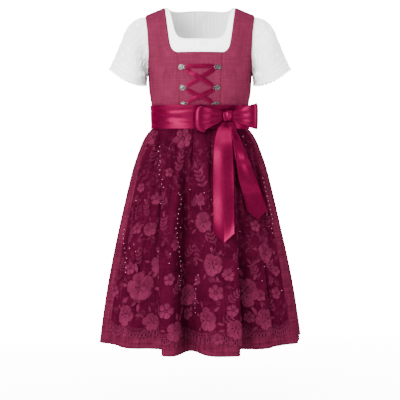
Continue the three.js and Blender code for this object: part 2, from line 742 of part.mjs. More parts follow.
// Lacing: silver hooks on the front seams and a satin ribbon crossing between them
function solidOf(geometry) {
  const welded = weldedGeometry(geometry);
  return new wasm.Manifold(
    new wasm.Mesh({
      numProp: 3,
      vertProperties: welded.attributes.position.array,
      triVerts: new Uint32Array(welded.index.array),
    }),
  );
}

function geometryOf(solid) {
  const mesh = solid.getMesh();
  const geometry = new THREE.BufferGeometry();
  geometry.setAttribute("position", new THREE.BufferAttribute(mesh.vertProperties, 3));
  return geometry.setIndex(new THREE.BufferAttribute(mesh.triVerts, 1));
}

function hookGeometry() {
  const petals = 7;
  const rosette = new THREE.CylinderGeometry(HOOK.radius * 0.72, HOOK.radius, HOOK.thick, 21);
  rosette.rotateX(QUARTER);
  const place = rosette.attributes.position;
  for (let i = 0; i < place.count; i += 1) {
    const angle = Math.atan2(place.getY(i), place.getX(i));
    const lobe = 1 + 0.09 * Math.cos(petals * angle);
    place.setXY(i, place.getX(i) * lobe, place.getY(i) * lobe);
  }
  const loop = new THREE.TorusGeometry(HOOK.loopRadius, HOOK.loopWire, 5, 10);
  loop.translate(HOOK.loopOut, 0, 0);
  return geometryOf(solidOf(rosette).add(solidOf(loop)));
}

const backTurn = (x, level) => (x < 0 ? 180 - angleAtX(x, level) : angleAtX(x, level));

// The place on the front of the bodice at x and level, with the way it faces
function frontPlace(x, level, out) {
  const turn = -backTurn(x, level);
  const point = onFigure(turn, level, out);
  const facing = onFigure(turn, level, out + 1).sub(point).normalize();
  return { point, facing };
}

function buildHooks() {
  const outward = BODICE_WALL + LAY_GAP + HOOK.thick / 2;
  for (const [sideName, side] of [["left", -1], ["right", 1]]) {
    for (const row of HOOK_ROWS) {
      const hook = addPiece(`hook_${row.name}_${sideName}`, hookGeometry(), "silver");
      const { point, facing } = frontPlace(side * row.x, row.z, outward);
      const inwardX = new THREE.Vector3(-side, 0, 0);
      const up = new THREE.Vector3().crossVectors(facing, inwardX).normalize();
      const along = new THREE.Vector3().crossVectors(up, facing);
      hook.matrixAutoUpdate = false;
      hook.matrix.makeBasis(along, up, facing).setPosition(point);
    }
  }
}

// A strand from one hook to another, lifted where it passes over its fellow
function strandGeometry(from, to, lift) {
  const level = (run) => lerp(from.z, to.z, run);
  const slope = new THREE.Vector2(to.x - from.x, to.z - from.z).normalize();
  const surface = (run, across, out) => {
    const x = lerp(from.x, to.x, run) - slope.y * across * LACE_HALF;
    const z = level(run) + slope.x * across * LACE_HALF;
    const hump = lift * (1 - smooth(Math.abs(run - 0.5), 0.12, 0.42));
    return frontPlace(x, z, BODICE_WALL + LACE_LIFT + hump + out).point;
  };
  return wallOver(steps(8), [-1, 0, 1], surface, 0, LACE_WALL);
}

function buildLacing() {
  const inner = (row, side, down = 0) => {
    const x = side * (row.x - HOOK.loopOut - HOOK.loopRadius - HOOK.loopWire - LACE_HALF);
    return { x, z: row.z - down };
  };
  const [top, middle, bottom] = HOOK_ROWS;
  const strands = [
    { name: "lace_bar", from: inner(top, -1, -2), to: inner(top, 1, -2), lift: 0 },
    { name: "lace_upper_over", from: inner(top, -1, 8), to: inner(middle, 1, -7), lift: LACE_PASS },
    { name: "lace_upper_under", from: inner(top, 1, 8), to: inner(middle, -1, -7), lift: 0 },
    { name: "lace_lower_over", from: inner(middle, 1, 7), to: inner(bottom, -1, -8), lift: LACE_PASS },
    { name: "lace_lower_under", from: inner(middle, -1, 7), to: inner(bottom, 1, -8), lift: 0 },
  ];
  for (const strand of strands) {
    addPiece(strand.name, strandGeometry(strand.from, strand.to, strand.lift), "satin");
  }
}

// The small bow at the blouse's neckline, and the bare label inside the back of the neck
function buildTrims() {
  const outline = new THREE.Shape();
  outline.moveTo(0, 1);
  outline.bezierCurveTo(2, 3.6, NECK_BOW.half, 4.4, NECK_BOW.half, NECK_BOW.tall * 0.5);
  outline.bezierCurveTo(NECK_BOW.half, -1, 2.5, -1.4, 1.1, -1);
  outline.lineTo(3.2, -NECK_BOW.tall);
  outline.lineTo(1.2, -NECK_BOW.tall - 0.6);
  outline.lineTo(0, -1.6);
  outline.lineTo(-1.2, -NECK_BOW.tall - 0.6);
  outline.lineTo(-3.2, -NECK_BOW.tall);
  outline.lineTo(-1.1, -1);
  outline.bezierCurveTo(-2.5, -1.4, -NECK_BOW.half, -1, -NECK_BOW.half, NECK_BOW.tall * 0.5);
  outline.bezierCurveTo(-NECK_BOW.half, 4.4, -2, 3.6, 0, 1);
  const flat = new THREE.ExtrudeGeometry(outline, {
    depth: NECK_BOW.thick, bevelEnabled: false, curveSegments: 5,
  });
  const bow = addPiece("neck_bow", weldedGeometry(flat), "cotton");
  const { point, facing } = frontPlace(NECK_BOW.x, NECK_BOW.level, BLOUSE_OUT + LAY_GAP);
  const along = new THREE.Vector3(0, 0, 1).cross(facing).normalize();
  const up = new THREE.Vector3().crossVectors(facing, along);
  bow.matrixAutoUpdate = false;
  bow.matrix.makeBasis(along, up, facing).setPosition(point);

  const across = (level, f, out) => onFigure(backTurn(f * LABEL.halfWidth, level), level, out);
  const inside = BLOUSE_IN - LABEL.gap;
  const rows = [LABEL.bottom, -27.5, -23, LABEL.top];
  const geometry = wallOver(rows, [-1, -0.5, 0, 0.5, 1], across, inside - LACE_WALL, inside);
  addPiece("neck_label", geometry, "cotton");
}

buildBodice();
buildBlouse();
buildSkirt();
buildApron();
buildSash();
buildBow();
buildHooks();
buildLacing();
buildTrims();

export default part;
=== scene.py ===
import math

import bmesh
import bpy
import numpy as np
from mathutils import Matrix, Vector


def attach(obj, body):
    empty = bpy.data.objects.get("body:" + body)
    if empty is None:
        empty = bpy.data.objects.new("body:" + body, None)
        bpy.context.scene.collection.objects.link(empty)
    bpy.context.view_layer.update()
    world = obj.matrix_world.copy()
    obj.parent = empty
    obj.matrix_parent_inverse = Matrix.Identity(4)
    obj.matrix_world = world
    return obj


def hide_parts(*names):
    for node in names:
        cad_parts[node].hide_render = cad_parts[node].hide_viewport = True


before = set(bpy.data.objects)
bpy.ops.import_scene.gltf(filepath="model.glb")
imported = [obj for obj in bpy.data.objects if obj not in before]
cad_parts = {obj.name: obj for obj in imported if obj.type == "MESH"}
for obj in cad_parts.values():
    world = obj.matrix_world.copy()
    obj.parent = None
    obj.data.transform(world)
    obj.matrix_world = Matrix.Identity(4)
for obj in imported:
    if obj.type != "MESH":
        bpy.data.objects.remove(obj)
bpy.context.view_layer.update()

# %% [markdown]
# A girl's dirndl, filled out with nobody in it: a laced bodice with a gathered skirt, a short
# blouse with lace sleeves, and an embroidered net apron tied with a wide satin bow.
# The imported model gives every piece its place. Each cloth piece is made again here as a finer
# shell on the same form, so that folds, gathers, thread work and edges can be seen.
# Tables and lengths are in millimetres, as a pattern cutter writes them, and become metres
# only where a mesh is made. Turns are in degrees: -90 is the front and 90 the back.

MM = 0.001
rng = np.random.default_rng(7)

# %% [markdown]
# The photograph is a catalogue picture: a long lens a little above the waist, a white ground
# and large soft lights. The camera stands 2.4 m away with a 100 mm lens, which keeps the
# sides of the skirt nearly parallel.

# %% Camera and lights
AIM = Vector((0, 0, -0.415))
CAMERA_AWAY = 2.4
CAMERA_RISE = math.radians(3)
LENS, SENSOR = 100, 36

camera_data = bpy.data.cameras.new("camera")
camera_data.lens = LENS
camera_data.sensor_width = SENSOR
camera = bpy.data.objects.new("camera", camera_data)
bpy.context.scene.collection.objects.link(camera)
toward = Vector((0, -math.cos(CAMERA_RISE), math.sin(CAMERA_RISE)))
camera.location = AIM + toward * CAMERA_AWAY
camera.rotation_euler = (-toward).to_track_quat("-Z", "Y").to_euler()
bpy.context.scene.camera = camera


def add_light(name, place, size, watts):
    """A square soft light that looks at the middle of the dress."""
    data = bpy.data.lights.new(name, "AREA")
    data.size = size
    data.energy = watts
    lamp = bpy.data.objects.new(name, data)
    lamp.location = place
    lamp.rotation_euler = (AIM - Vector(place)).to_track_quat("-Z", "Y").to_euler()
    bpy.context.scene.collection.objects.link(lamp)
    return lamp


add_light("key_light", (-1.5, -2.2, 0.5), 1.9, 270)
add_light("fill_light", (2.9, -1.0, 0.2), 1.8, 125)
add_light("top_light", (0.0, -0.9, 1.7), 1.2, 55)
add_light("back_light_left", (-2.0, 1.4, 0.5), 1.2, 15)
add_light("back_light_right", (2.0, 1.4, 0.5), 1.2, 15)
world = bpy.data.worlds.new("studio")
world.use_nodes = True
world.node_tree.nodes["Background"].inputs["Color"].default_value = (1, 1, 1, 1)
world.node_tree.nodes["Background"].inputs["Strength"].default_value = 1.3
bpy.context.scene.world = world
print("lights", len(bpy.data.lights))

# %% [markdown]
# Cloth materials share three small node groups. `weave` makes the over and under of crossing
# threads from a piece's own cloth coordinates, which are in metres along and across the
# cloth. `slub` makes the long thick threads of linen. `wear` makes the faint cloudy change of
# colour that all handled cloth has.


# %% Node helpers
def add_node(tree, kind, inputs=None, **settings):
    """A node with its settings, and its inputs linked or set."""
    made = tree.nodes.new(kind)
    for name, value in settings.items():
        setattr(made, name, value)
    for key, value in (inputs or {}).items():
        if isinstance(value, bpy.types.NodeSocket):
            tree.links.new(value, made.inputs[key])
        else:
            made.inputs[key].default_value = value
    return made


def maths(tree, operation, *values):
    """The result of a Math node on sockets or numbers."""
    return add_node(
        tree, "ShaderNodeMath", dict(enumerate(values)), operation=operation
    ).outputs[0]


def new_group(name, inputs, outputs):
    """An empty node group with named float or vector sockets."""
    tree = bpy.data.node_groups.new(name, "ShaderNodeTree")
    for label, kind in inputs:
        tree.interface.new_socket(label, in_out="INPUT", socket_type=kind)
    for label, kind in outputs:
        tree.interface.new_socket(label, in_out="OUTPUT", socket_type=kind)
    return tree, tree.nodes.new("NodeGroupInput"), tree.nodes.new("NodeGroupOutput")


FLOAT, VECTOR = "NodeSocketFloat", "NodeSocketVector"
FINE_SHARE = 0.35


def make_weave():
    tree, start, end = new_group(
        "weave", [("Cloth", VECTOR), ("Threads", FLOAT)], [("Height", FLOAT)]
    )
    parts = add_node(tree, "ShaderNodeSeparateXYZ", {0: start.outputs["Cloth"]})
    waves = []
    for axis in (0, 1):
        turns = maths(tree, "MULTIPLY", parts.outputs[axis], start.outputs["Threads"])
        waves.append(maths(tree, "SINE", maths(tree, "MULTIPLY", turns, 2 * math.pi)))
    crossed = maths(tree, "MULTIPLY", *waves)
    tree.links.new(maths(tree, "MULTIPLY_ADD", crossed, 0.5, 0.5), end.inputs["Height"])
    return tree


def make_slub():
    tree, start, end = new_group(
        "slub", [("Cloth", VECTOR), ("Coarseness", FLOAT)], [("Amount", FLOAT)]
    )
    streaks = []
    for stretch in ((24, 340, 1), (300, 18, 1)):
        place = add_node(
            tree, "ShaderNodeMapping", {0: start.outputs["Cloth"], 3: stretch}
        ).outputs[0]
        noise = add_node(
            tree, "ShaderNodeTexNoise",
            {"Vector": place, "Scale": start.outputs["Coarseness"], "Detail": 3.0},
        )
        streaks.append(noise.outputs[0])
    both = maths(tree, "ADD", *streaks)
    tree.links.new(maths(tree, "MULTIPLY", both, 0.5), end.inputs["Amount"])
    return tree


def make_wear():
    tree, start, end = new_group("wear", [("Cloth", VECTOR)], [("Amount", FLOAT)])
    broad = add_node(
        tree, "ShaderNodeTexNoise", {"Vector": start.outputs[0], "Scale": 22.0, "Detail": 4.0}
    )
    fine = add_node(
        tree, "ShaderNodeTexNoise", {"Vector": start.outputs[0], "Scale": 160.0, "Detail": 2.0}
    )
    most = maths(tree, "MULTIPLY", broad.outputs[0], 1 - FINE_SHARE)
    mixed = maths(tree, "MULTIPLY_ADD", fine.outputs[0], FINE_SHARE, most)
    tree.links.new(mixed, end.inputs["Amount"])
    return tree


WEAVE, SLUB, WEAR = make_weave(), make_slub(), make_wear()
print("shared effects:", WEAVE.name, SLUB.name, WEAR.name)


# %% Cloth material
RAMP_STOPS = (0.36, 0.64)
RELIEF = 0.0004
SATIN_TINT = (0.8, 0.28, 0.5, 1)


def cloth_material(name, dark, light, threads, rough, slub=0.0, bump=0.25, metal=0.0):
    """Woven cloth whose colour swings from `dark` to `light` with its slubs and wear."""
    made = bpy.data.materials.new(name)
    made.use_nodes = True
    tree = made.node_tree
    shader = tree.nodes["Principled BSDF"]
    cloth = add_node(tree, "ShaderNodeUVMap", uv_map="cloth").outputs[0]
    weave = add_node(tree, "ShaderNodeGroup", node_tree=WEAVE)
    tree.links.new(cloth, weave.inputs["Cloth"])
    weave.inputs["Threads"].default_value = threads
    wear = add_node(tree, "ShaderNodeGroup", node_tree=WEAR)
    tree.links.new(cloth, wear.inputs["Cloth"])
    amount, height = wear.outputs[0], weave.outputs[0]
    if slub:
        thick = add_node(tree, "ShaderNodeGroup", node_tree=SLUB)
        tree.links.new(cloth, thick.inputs["Cloth"])
        thick.inputs["Coarseness"].default_value = 1.0
        rest = maths(tree, "MULTIPLY", amount, 1 - slub)
        amount = maths(tree, "MULTIPLY_ADD", thick.outputs[0], slub, rest)
        height = maths(tree, "MULTIPLY_ADD", thick.outputs[0], 2 * slub, height)
    ramp = add_node(tree, "ShaderNodeValToRGB", {0: amount})
    for stop, place, colour in zip(ramp.color_ramp.elements, RAMP_STOPS, (dark, light)):
        stop.position = place
        stop.color = (*colour, 1)
    tree.links.new(ramp.outputs[0], shader.inputs["Base Color"])
    relief = add_node(
        tree, "ShaderNodeBump", {"Height": height, "Strength": bump, "Distance": RELIEF}
    )
    tree.links.new(relief.outputs[0], shader.inputs["Normal"])
    shader.inputs["Roughness"].default_value = rough
    shader.inputs["Metallic"].default_value = metal
    shader.inputs["Specular IOR Level"].default_value = 0.0
    if metal:
        shader.inputs["Specular Tint"].default_value = SATIN_TINT
    return made


bodice_linen = cloth_material(
    "bodice_linen", (0.052, 0.0066, 0.0165), (0.094, 0.0105, 0.029), 1500, 0.85, slub=0.6, bump=0.5
)
skirt_linen = cloth_material(
    "skirt_linen", (0.022, 0.0015, 0.006), (0.074, 0.0075, 0.0225), 1500, 0.85, slub=0.75, bump=0.5
)
net_cloth = cloth_material(
    "apron_net", (0.012, 0.0005, 0.0035), (0.038, 0.0018, 0.0095), 700, 0.8, slub=0.5, bump=0.8
)
embroidery_thread = cloth_material(
    "embroidery_thread", (0.04, 0.0036, 0.0125), (0.082, 0.009, 0.027), 2200, 0.5, bump=0.7
)
satin_cloth = cloth_material(
    "satin_cloth", (0.058, 0.0013, 0.0125), (0.074, 0.002, 0.0165), 3000, 0.36, bump=0.02,
    metal=0.75,
)
blouse_cotton = cloth_material(
    "blouse_cotton", (0.82, 0.82, 0.82), (0.88, 0.88, 0.88), 1800, 0.85, bump=0.3
)
sleeve_net = cloth_material(
    "sleeve_net", (0.64, 0.65, 0.65), (0.74, 0.74, 0.74), 900, 0.85, bump=0.7
)
lace_thread = cloth_material(
    "lace_thread", (0.86, 0.86, 0.86), (0.92, 0.92, 0.92), 2200, 0.6, bump=0.4
)
print("cloth materials:", len(bpy.data.materials))


# %% Floor
FLOOR_LEVEL = -0.86
FLOOR_HALF = 3
FLOOR_LINE = [  # away from the camera, height
    (-4, 0), (0, 0), (2.7, 0), (3.3, 0.1), (3.65, 0.4), (3.8, 0.9), (3.8, 3),
]
GLOW_NEAR, GLOW_FAR, GLOW_UNSEEN = 9.0, 14.0, 0.5


def add_stage():
    """A pale floor that turns up into a wall, overlit as seen, but a soft light for the dress."""
    shape = bmesh.new()
    sides = (-FLOOR_HALF, FLOOR_HALF)
    rows = [[shape.verts.new((x, y, FLOOR_LEVEL + z)) for x in sides] for y, z in FLOOR_LINE]
    for low, high in zip(rows, rows[1:]):
        shape.faces.new((low[0], low[1], high[1], high[0]))
    mesh = bpy.data.meshes.new("studio_floor")
    shape.to_mesh(mesh)
    shape.free()
    mesh.shade_smooth()
    floor = bpy.data.objects.new("studio_floor", mesh)
    bpy.context.scene.collection.objects.link(floor)
    made = bpy.data.materials.new("studio_paper")
    made.use_nodes = True
    tree = made.node_tree
    shader = tree.nodes["Principled BSDF"]
    shader.inputs["Base Color"].default_value = (0.88, 0.88, 0.88, 1)
    shader.inputs["Roughness"].default_value = 0.9
    shader.inputs["Emission Color"].default_value = (1, 1, 1, 1)
    place = add_node(tree, "ShaderNodeTexCoord").outputs["Object"]
    depth = add_node(tree, "ShaderNodeSeparateXYZ", {0: place}).outputs[1]
    glow = add_node(
        tree, "ShaderNodeMapRange",
        {"Value": depth, "From Min": -0.1, "From Max": 1.3,
         "To Min": GLOW_NEAR, "To Max": GLOW_FAR},
        interpolation_type="SMOOTHSTEP",
    )
    seen = add_node(tree, "ShaderNodeLightPath").outputs["Is Camera Ray"]
    strength = maths(tree, "MULTIPLY_ADD", seen, glow.outputs[0], GLOW_UNSEEN)
    tree.links.new(strength, shader.inputs["Emission Strength"])
    mesh.materials.append(made)


add_stage()
print("floor at", FLOOR_LEVEL, "m")

# %% [markdown]
# The bodice, blouse and sash lie on one smooth figure. Its half width and depth are read
# from a table at each level, with a section between an ellipse and a rectangle, and the
# shoulder rounds over at the top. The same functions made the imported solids, so a finer
# mesh made with them lies on the same form.

# %% Figure
FIGURE = [  # level, half width, front depth, back depth
    (0, 128.5, 78, 62), (-45, 121, 80, 68), (-80, 117.5, 83, 72), (-105, 114.5, 86, 74),
    (-148, 109.5, 87, 75), (-183, 107.4, 83, 72), (-205, 103.6, 80, 70),
    (-232, 101.6, 79, 70), (-262, 102, 80, 72),
]
FIGURE_SQUARENESS = 2.4
SHOULDER_TURN, SHOULDER_SLOPE, SHOULDER_FADE = 80, 0.415, 110
NECK_X, NECK_Z = 75, -4


def curve(table, column, at):
    """The smooth value of a table's column where its first column has the value `at`."""
    rows = np.array(sorted(table), float)
    x, y = rows[:, 0], rows[:, column]
    order = np.arange(len(x))
    before, after = np.maximum(order - 1, 0), np.minimum(order + 1, len(x) - 1)
    slope = (y[after] - y[before]) / (x[after] - x[before])
    at = np.asarray(at, float)
    i = np.searchsorted(x[1:-1], at)
    width = x[i + 1] - x[i]
    f = np.clip((at - x[i]) / width, 0, 1)
    return (
        (2 * f**3 - 3 * f**2 + 1) * y[i] + (f**3 - 2 * f**2 + f) * slope[i] * width
        + (3 * f**2 - 2 * f**3) * y[i + 1] + (f**3 - f**2) * slope[i + 1] * width
    )


def lerp(a, b, f):
    return a + (b - a) * f


def smooth(value, start, stop):
    f = np.clip((np.asarray(value, float) - start) / (stop - start), 0, 1)
    return f * f * (3 - 2 * f)


def power(value, exponent):
    return np.sign(value) * np.abs(value) ** exponent


def level_of(reach):
    over = -SHOULDER_TURN * (1 - np.cos(np.pi / 2 * reach))
    down = -SHOULDER_TURN - (reach - 1) * SHOULDER_TURN * np.pi / 2
    return np.where(np.abs(reach) <= 1, over, down)


def reach_of(level):
    over = np.arccos(np.clip(1 + level / SHOULDER_TURN, -1, 1)) / (np.pi / 2)
    down = 1 + (-level - SHOULDER_TURN) / (SHOULDER_TURN * np.pi / 2)
    return np.where(level > -SHOULDER_TURN, over, down)


def figure_point(turn, reach):
    level = level_of(reach)
    angle = np.radians(turn)
    exponent = 2 / FIGURE_SQUARENESS
    depth = np.where(
        np.sin(angle) < 0, curve(FIGURE, 2, level), curve(FIGURE, 3, level)
    )
    x = curve(FIGURE, 1, level) * power(np.cos(angle), exponent)
    y = depth * power(np.sin(angle), exponent) * np.sin(np.pi / 2 * np.clip(reach, -1, 1))
    inside = NECK_X - np.abs(x)
    rise = np.where(inside > 0, inside * (1 - inside / (2 * NECK_X)), inside)
    height = NECK_Z + SHOULDER_SLOPE * rise
    return np.stack([x, y, level + height * np.clip(1 + level / SHOULDER_FADE, 0, 1)], -1)


def moved_out(surface, a, b, out, step_a, step_b):
    """Points of a surface moved out along its own normal."""
    along_a = surface(a + step_a, b) - surface(a - step_a, b)
    along_b = surface(a, b + step_b) - surface(a, b - step_b)
    normal = np.cross(along_b, along_a)
    normal /= np.linalg.norm(normal, axis=-1, keepdims=True)
    return surface(a, b) + normal * np.asarray(out, float)[..., None]


def spread(*values):
    """Numbers or arrays as float arrays of one shape."""
    return np.broadcast_arrays(*(np.asarray(value, float) for value in values))


def on_figure(turn, level, out):
    turn, level, out = spread(turn, level, out)
    return moved_out(figure_point, turn, reach_of(level), out, 0.4, 0.004)


def angle_at_x(x, level):
    """The angle in front of the side at which the figure's half width has come in to x."""
    share = np.clip(np.abs(x) / curve(FIGURE, 1, level), 0, 1)
    return np.degrees(np.arccos(share ** (FIGURE_SQUARENESS / 2)))


def finer(values, step):
    """The same run of values with steps of at most `step` between them."""
    made = [values[0]]
    for a, b in zip(values, values[1:]):
        count = max(1, math.ceil(abs(b - a) / step))
        made += [a + (b - a) * (i + 1) / count for i in range(count)]
    return np.array(made)


print("waist half width", round(float(curve(FIGURE, 1, -232)), 1), "mm")

# %% [markdown]
# A sheet of cloth is made as two skins with a rim, so that its edge shows a real thickness.
# Its cloth coordinates follow the sheet in metres, which keeps the threads the same size
# everywhere. Soft creases are laid from short lists: where, which way, how long, how wide
# and how deep.


# %% Cloth mesh
def new_object(name, points, faces, material, uvs=None):
    """A mesh object from points in millimetres and a list or array of faces."""
    mesh = bpy.data.meshes.new(name)
    faces = faces.tolist() if isinstance(faces, np.ndarray) else faces
    mesh.from_pydata((np.asarray(points) * MM).tolist(), [], faces)
    if uvs is not None:
        layer = mesh.uv_layers.new(name="cloth")
        index = np.zeros(len(mesh.loops), int)
        mesh.loops.foreach_get("vertex_index", index)
        layer.data.foreach_set("uv", np.asarray(uvs, float)[index].ravel())
    mesh.shade_smooth()
    mesh.set_sharp_from_angle(angle=math.radians(60))
    mesh.materials.append(material)
    made = bpy.data.objects.new(name, mesh)
    bpy.context.scene.collection.objects.link(made)
    return made


def grid_faces(rows, columns, start=0):
    ids = np.arange(rows * columns).reshape(rows, columns) + start
    quads = np.stack([ids[:-1, :-1], ids[:-1, 1:], ids[1:, 1:], ids[1:, :-1]], -1)
    return quads.reshape(-1, 4)


def travelled(points, axis):
    """How far along the sheet each point lies, in metres."""
    steps = np.linalg.norm(np.diff(points, axis=axis), axis=-1) * MM
    pad = [(0, 0), (0, 0)]
    pad[axis] = (1, 0)
    return np.cumsum(np.pad(steps, pad), axis=axis)


def cloth(name, at, rows, columns, thick, material, slot_name, nodes=()):
    """A sheet of cloth from at(row, column, out), ready to ride on the frame."""
    r, c = np.meshgrid(np.asarray(rows, float), np.asarray(columns, float), indexing="ij")
    outer, inner = at(r, c, 0.0), at(r, c, -thick)
    n, m = r.shape
    front = grid_faces(n, m)
    back = front[:, ::-1] + n * m
    ids = np.arange(n * m).reshape(n, m)
    rim = np.concatenate([ids[0, :], ids[1:, -1], ids[-1, -2::-1], ids[-2:0:-1, 0]])
    after = np.roll(rim, -1)
    edge = np.stack([after, rim, rim + n * m, after + n * m], -1)
    faces = np.concatenate([front, back, edge])
    a, b, c4, _ = (outer.reshape(-1, 3)[front[:, k]] for k in range(4))
    facing = np.cross(b - a, c4 - a)
    outward = (outer - inner).reshape(-1, 3)[front[:, 0]]
    if (facing * outward).sum() < 0:
        faces = faces[:, ::-1]
    across, along = travelled(outer, 1), travelled(outer, 0)
    uv = np.stack([across.mean(0)[None, :] + 0 * along, along.mean(1)[:, None] + 0 * across], -1)
    uvs = np.concatenate([uv.reshape(-1, 2)] * 2)
    points = np.concatenate([outer.reshape(-1, 3), inner.reshape(-1, 3)])
    made = new_object(name, points, faces, material, uvs)
    place_on_body(made, slot_name, nodes)
    return made


def place_on_body(made, slot_name, nodes=()):
    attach(made, "root")
    if nodes:
        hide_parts(*nodes)


def flat_size(made):
    """The area of one side of a sheet in square metres."""
    return sum(face.area for face in made.data.polygons) / 2


def declare(made, flat, **says):
    """Prints a sheet's area beside that of its flat cut."""
    area = says.get("area", flat[0] * flat[1])
    print(made.name, "area", round(flat_size(made), 4), "m2 of", round(area, 4))


def creased(creases, turn, level, per_turn):
    """How far the listed creases push a place in (-) or out, in millimetres."""
    total = np.zeros(np.broadcast(turn, level).shape)
    for at_turn, at_level, lean, length, width, depth in creases:
        lean = math.radians(lean)
        s, d = (turn - at_turn) * per_turn, level - at_level
        along = d * math.cos(lean) + s * math.sin(lean)
        across = s * math.cos(lean) - d * math.sin(lean)
        total = total + depth * np.exp(-((across / width) ** 2) - (along / length) ** 4)
    return total


# %% [markdown]
# The bodice has a middle front between two seams, side fronts that run up into the straps,
# and two backs. It is a firm lined cloth, so it has few creases: shallow ones that run from
# the bust to the side and across the waist, and each side is a little different.

# %% Bodice
BODICE_OUT, BODICE_THICK = 1.8, 0.9
SASH_TOP, WAIST_SEAM, SASH_BOTTOM, HEM_LEVEL, NECK_LEVEL = -212, -232, -262, -716, -104
ARMHOLE = [
    (0, 27), (-8, 26.85), (-20, 26.55), (-35, 26.1), (-55, 25.3), (-80, 23.8),
    (-105, 20.5), (-125, 13.5), (-138, 7.5), (-145, 3), (-148, 0),
]
ARMHOLE_LEVEL, BODICE_ARMHOLE_DROP, BODICE_ARMHOLE_IN = -148, 2.5, 1.0
FRONT_NECKLINE = [
    (0, 75), (-30, 70.5), (-60, 66.5), (-80, 63.5), (-90, 61.3), (-97, 58), (-101, 54),
    (-103, 50.2), (-104, 46.6), (-212, 41.7), (-232, 41),
]
BACK_NECKLINE = [(0, 75), (-6, 73), (-14, 67), (-23, 55), (-30, 38), (-33, 22), (-34, 0)]
BACK_NECK_LEVEL = -34
SEAM_GAP, SEAM_DIP, SEAM_ROUND = 0.08, 1.5, 1.4
SHOULDER_SEAM_LEVEL = -60
SIDE_WIDTH, MIDDLE_HALF, BODICE_PER_TURN = 55, 46, 1.85
CENTRE_BACK = 89.99
BODICE_CREASES = [  # turn, level, lean, length, width, depth
    (-28, -150, 62, 26, 7, -0.8), (-35, -172, 50, 30, 9, -0.7), (-22, -196, 78, 24, 6, -0.8),
    (-50, -203, 84, 22, 5, -0.6), (-158, -146, -58, 24, 8, -0.8), (-150, -178, -48, 34, 9, -0.8),
    (-132, -204, -82, 24, 5, -0.7), (-165, -198, -70, 20, 6, -0.7), (-40, -96, 16, 30, 8, -0.5),
    (-141, -92, -14, 28, 8, -0.6), (20, -170, -56, 30, 8, -0.8), (45, -198, -80, 26, 6, -0.7),
    (70, -120, 12, 40, 12, -0.5), (128, -186, 66, 28, 7, -0.8), (158, -160, 50, 26, 8, -0.7),
    (108, -110, -10, 38, 11, -0.6), (-74, -198, 80, 12, 4, -0.5), (-104, -206, -84, 12, 4, -0.5),
]


def armhole_angle(level):
    return np.where(level <= ARMHOLE_LEVEL, 0, curve(ARMHOLE, 1, level))


def armhole_level(angle):
    """The level at which the armhole's edge has come round to an angle."""
    angle = np.asarray(angle, float)
    low, high = np.full(angle.shape, float(ARMHOLE_LEVEL)), np.zeros(angle.shape)
    for _ in range(24):
        middle = (low + high) / 2
        short = armhole_angle(middle) < angle
        low, high = np.where(short, middle, low), np.where(short, high, middle)
    return low


def bodice_armhole(level):
    opened = armhole_angle(level + BODICE_ARMHOLE_DROP)
    return np.where(opened > 0, opened + BODICE_ARMHOLE_IN, 0.12)


def mirrored_turn(turn, side):
    """The same place on the other half of the figure where side is -1."""
    return turn if side > 0 else np.where(turn < 0, -180 - turn, 180 - turn)


def on_bodice(turn, level, out):
    creases = creased(BODICE_CREASES, turn, level, BODICE_PER_TURN)
    return on_figure(turn, level, BODICE_OUT + out + creases)


def front_side(side):
    def at(level, across, out):
        x = curve(FRONT_NECKLINE, 1, level) + SEAM_GAP / 2
        turn = -lerp(angle_at_x(x, level), bodice_armhole(level), across)
        dip = SEAM_DIP * np.exp(-((across * SIDE_WIDTH / SEAM_ROUND) ** 2))
        return on_bodice(mirrored_turn(turn, side), level, out - dip)
    return at


def front_middle(level, across, out):
    x = curve(FRONT_NECKLINE, 1, level) - SEAM_GAP / 2
    half_turn = 90 - angle_at_x(x, level)
    dip = SEAM_DIP * np.exp(-(((1 - np.abs(across)) * MIDDLE_HALF / SEAM_ROUND) ** 2))
    return on_bodice(-90 + across * half_turn, level, out - dip)


def parted_on_top(made):
    """Keeps a back piece just behind the front one on top of the shoulder."""
    y = made[..., 1]
    near = (y > -SEAM_GAP) & (y < 2 * SEAM_GAP) & (made[..., 2] > SHOULDER_SEAM_LEVEL)
    made[..., 1] = np.where(near, np.maximum(y, 0) + SEAM_GAP, y)
    return made


def back_side(side):
    def at(level, across, out):
        x = np.where(level > BACK_NECK_LEVEL, curve(BACK_NECKLINE, 1, level), 0)
        inner = np.minimum(angle_at_x(x, level), CENTRE_BACK)
        turn = lerp(inner, bodice_armhole(level), across)
        return parted_on_top(on_bodice(mirrored_turn(turn, side), level, out))
    return at


SIDE_LEVELS = finer(
    [WAIST_SEAM, -205, -178, -150.8, -147.5, -139, -122, -104, -102.6, -99.5, -92, -78,
     -60, -44, -30, -18, -9, -3, 0], 4)
BACK_LEVELS = finer(
    [WAIST_SEAM, -205, -178, -150.8, -147.5, -139, -122, -98, -72, -51, -34, -33, -28, -19,
     -10, -3, 0], 4)
NEAR_SEAM = np.array([0, 0.014, 0.032, 0.06])
MIDDLE_COLUMNS = np.concatenate([NEAR_SEAM - 1, np.linspace(-0.9, 0.9, 27), 1 - NEAR_SEAM[::-1]])
bodice = [cloth(
    "bodice_middle", front_middle, finer([WAIST_SEAM, NECK_LEVEL], 3.5),
    MIDDLE_COLUMNS, BODICE_THICK, bodice_linen, "bodice_cloth", ["bodice_front_middle"],
)]
for side, side_name in ((1, "right"), (-1, "left")):
    bodice.append(cloth(
        f"bodice_side_{side_name}", front_side(side), SIDE_LEVELS,
        np.concatenate([NEAR_SEAM, np.linspace(0.09, 1, 24)]),
        BODICE_THICK, bodice_linen, "bodice_cloth", [f"bodice_front_{side_name}"],
    ))
    bodice.append(cloth(
        f"bodice_rear_{side_name}", back_side(side), BACK_LEVELS, np.linspace(0, 1, 34),
        BODICE_THICK, bodice_linen, "bodice_cloth", [f"bodice_back_{side_name}"],
    ))
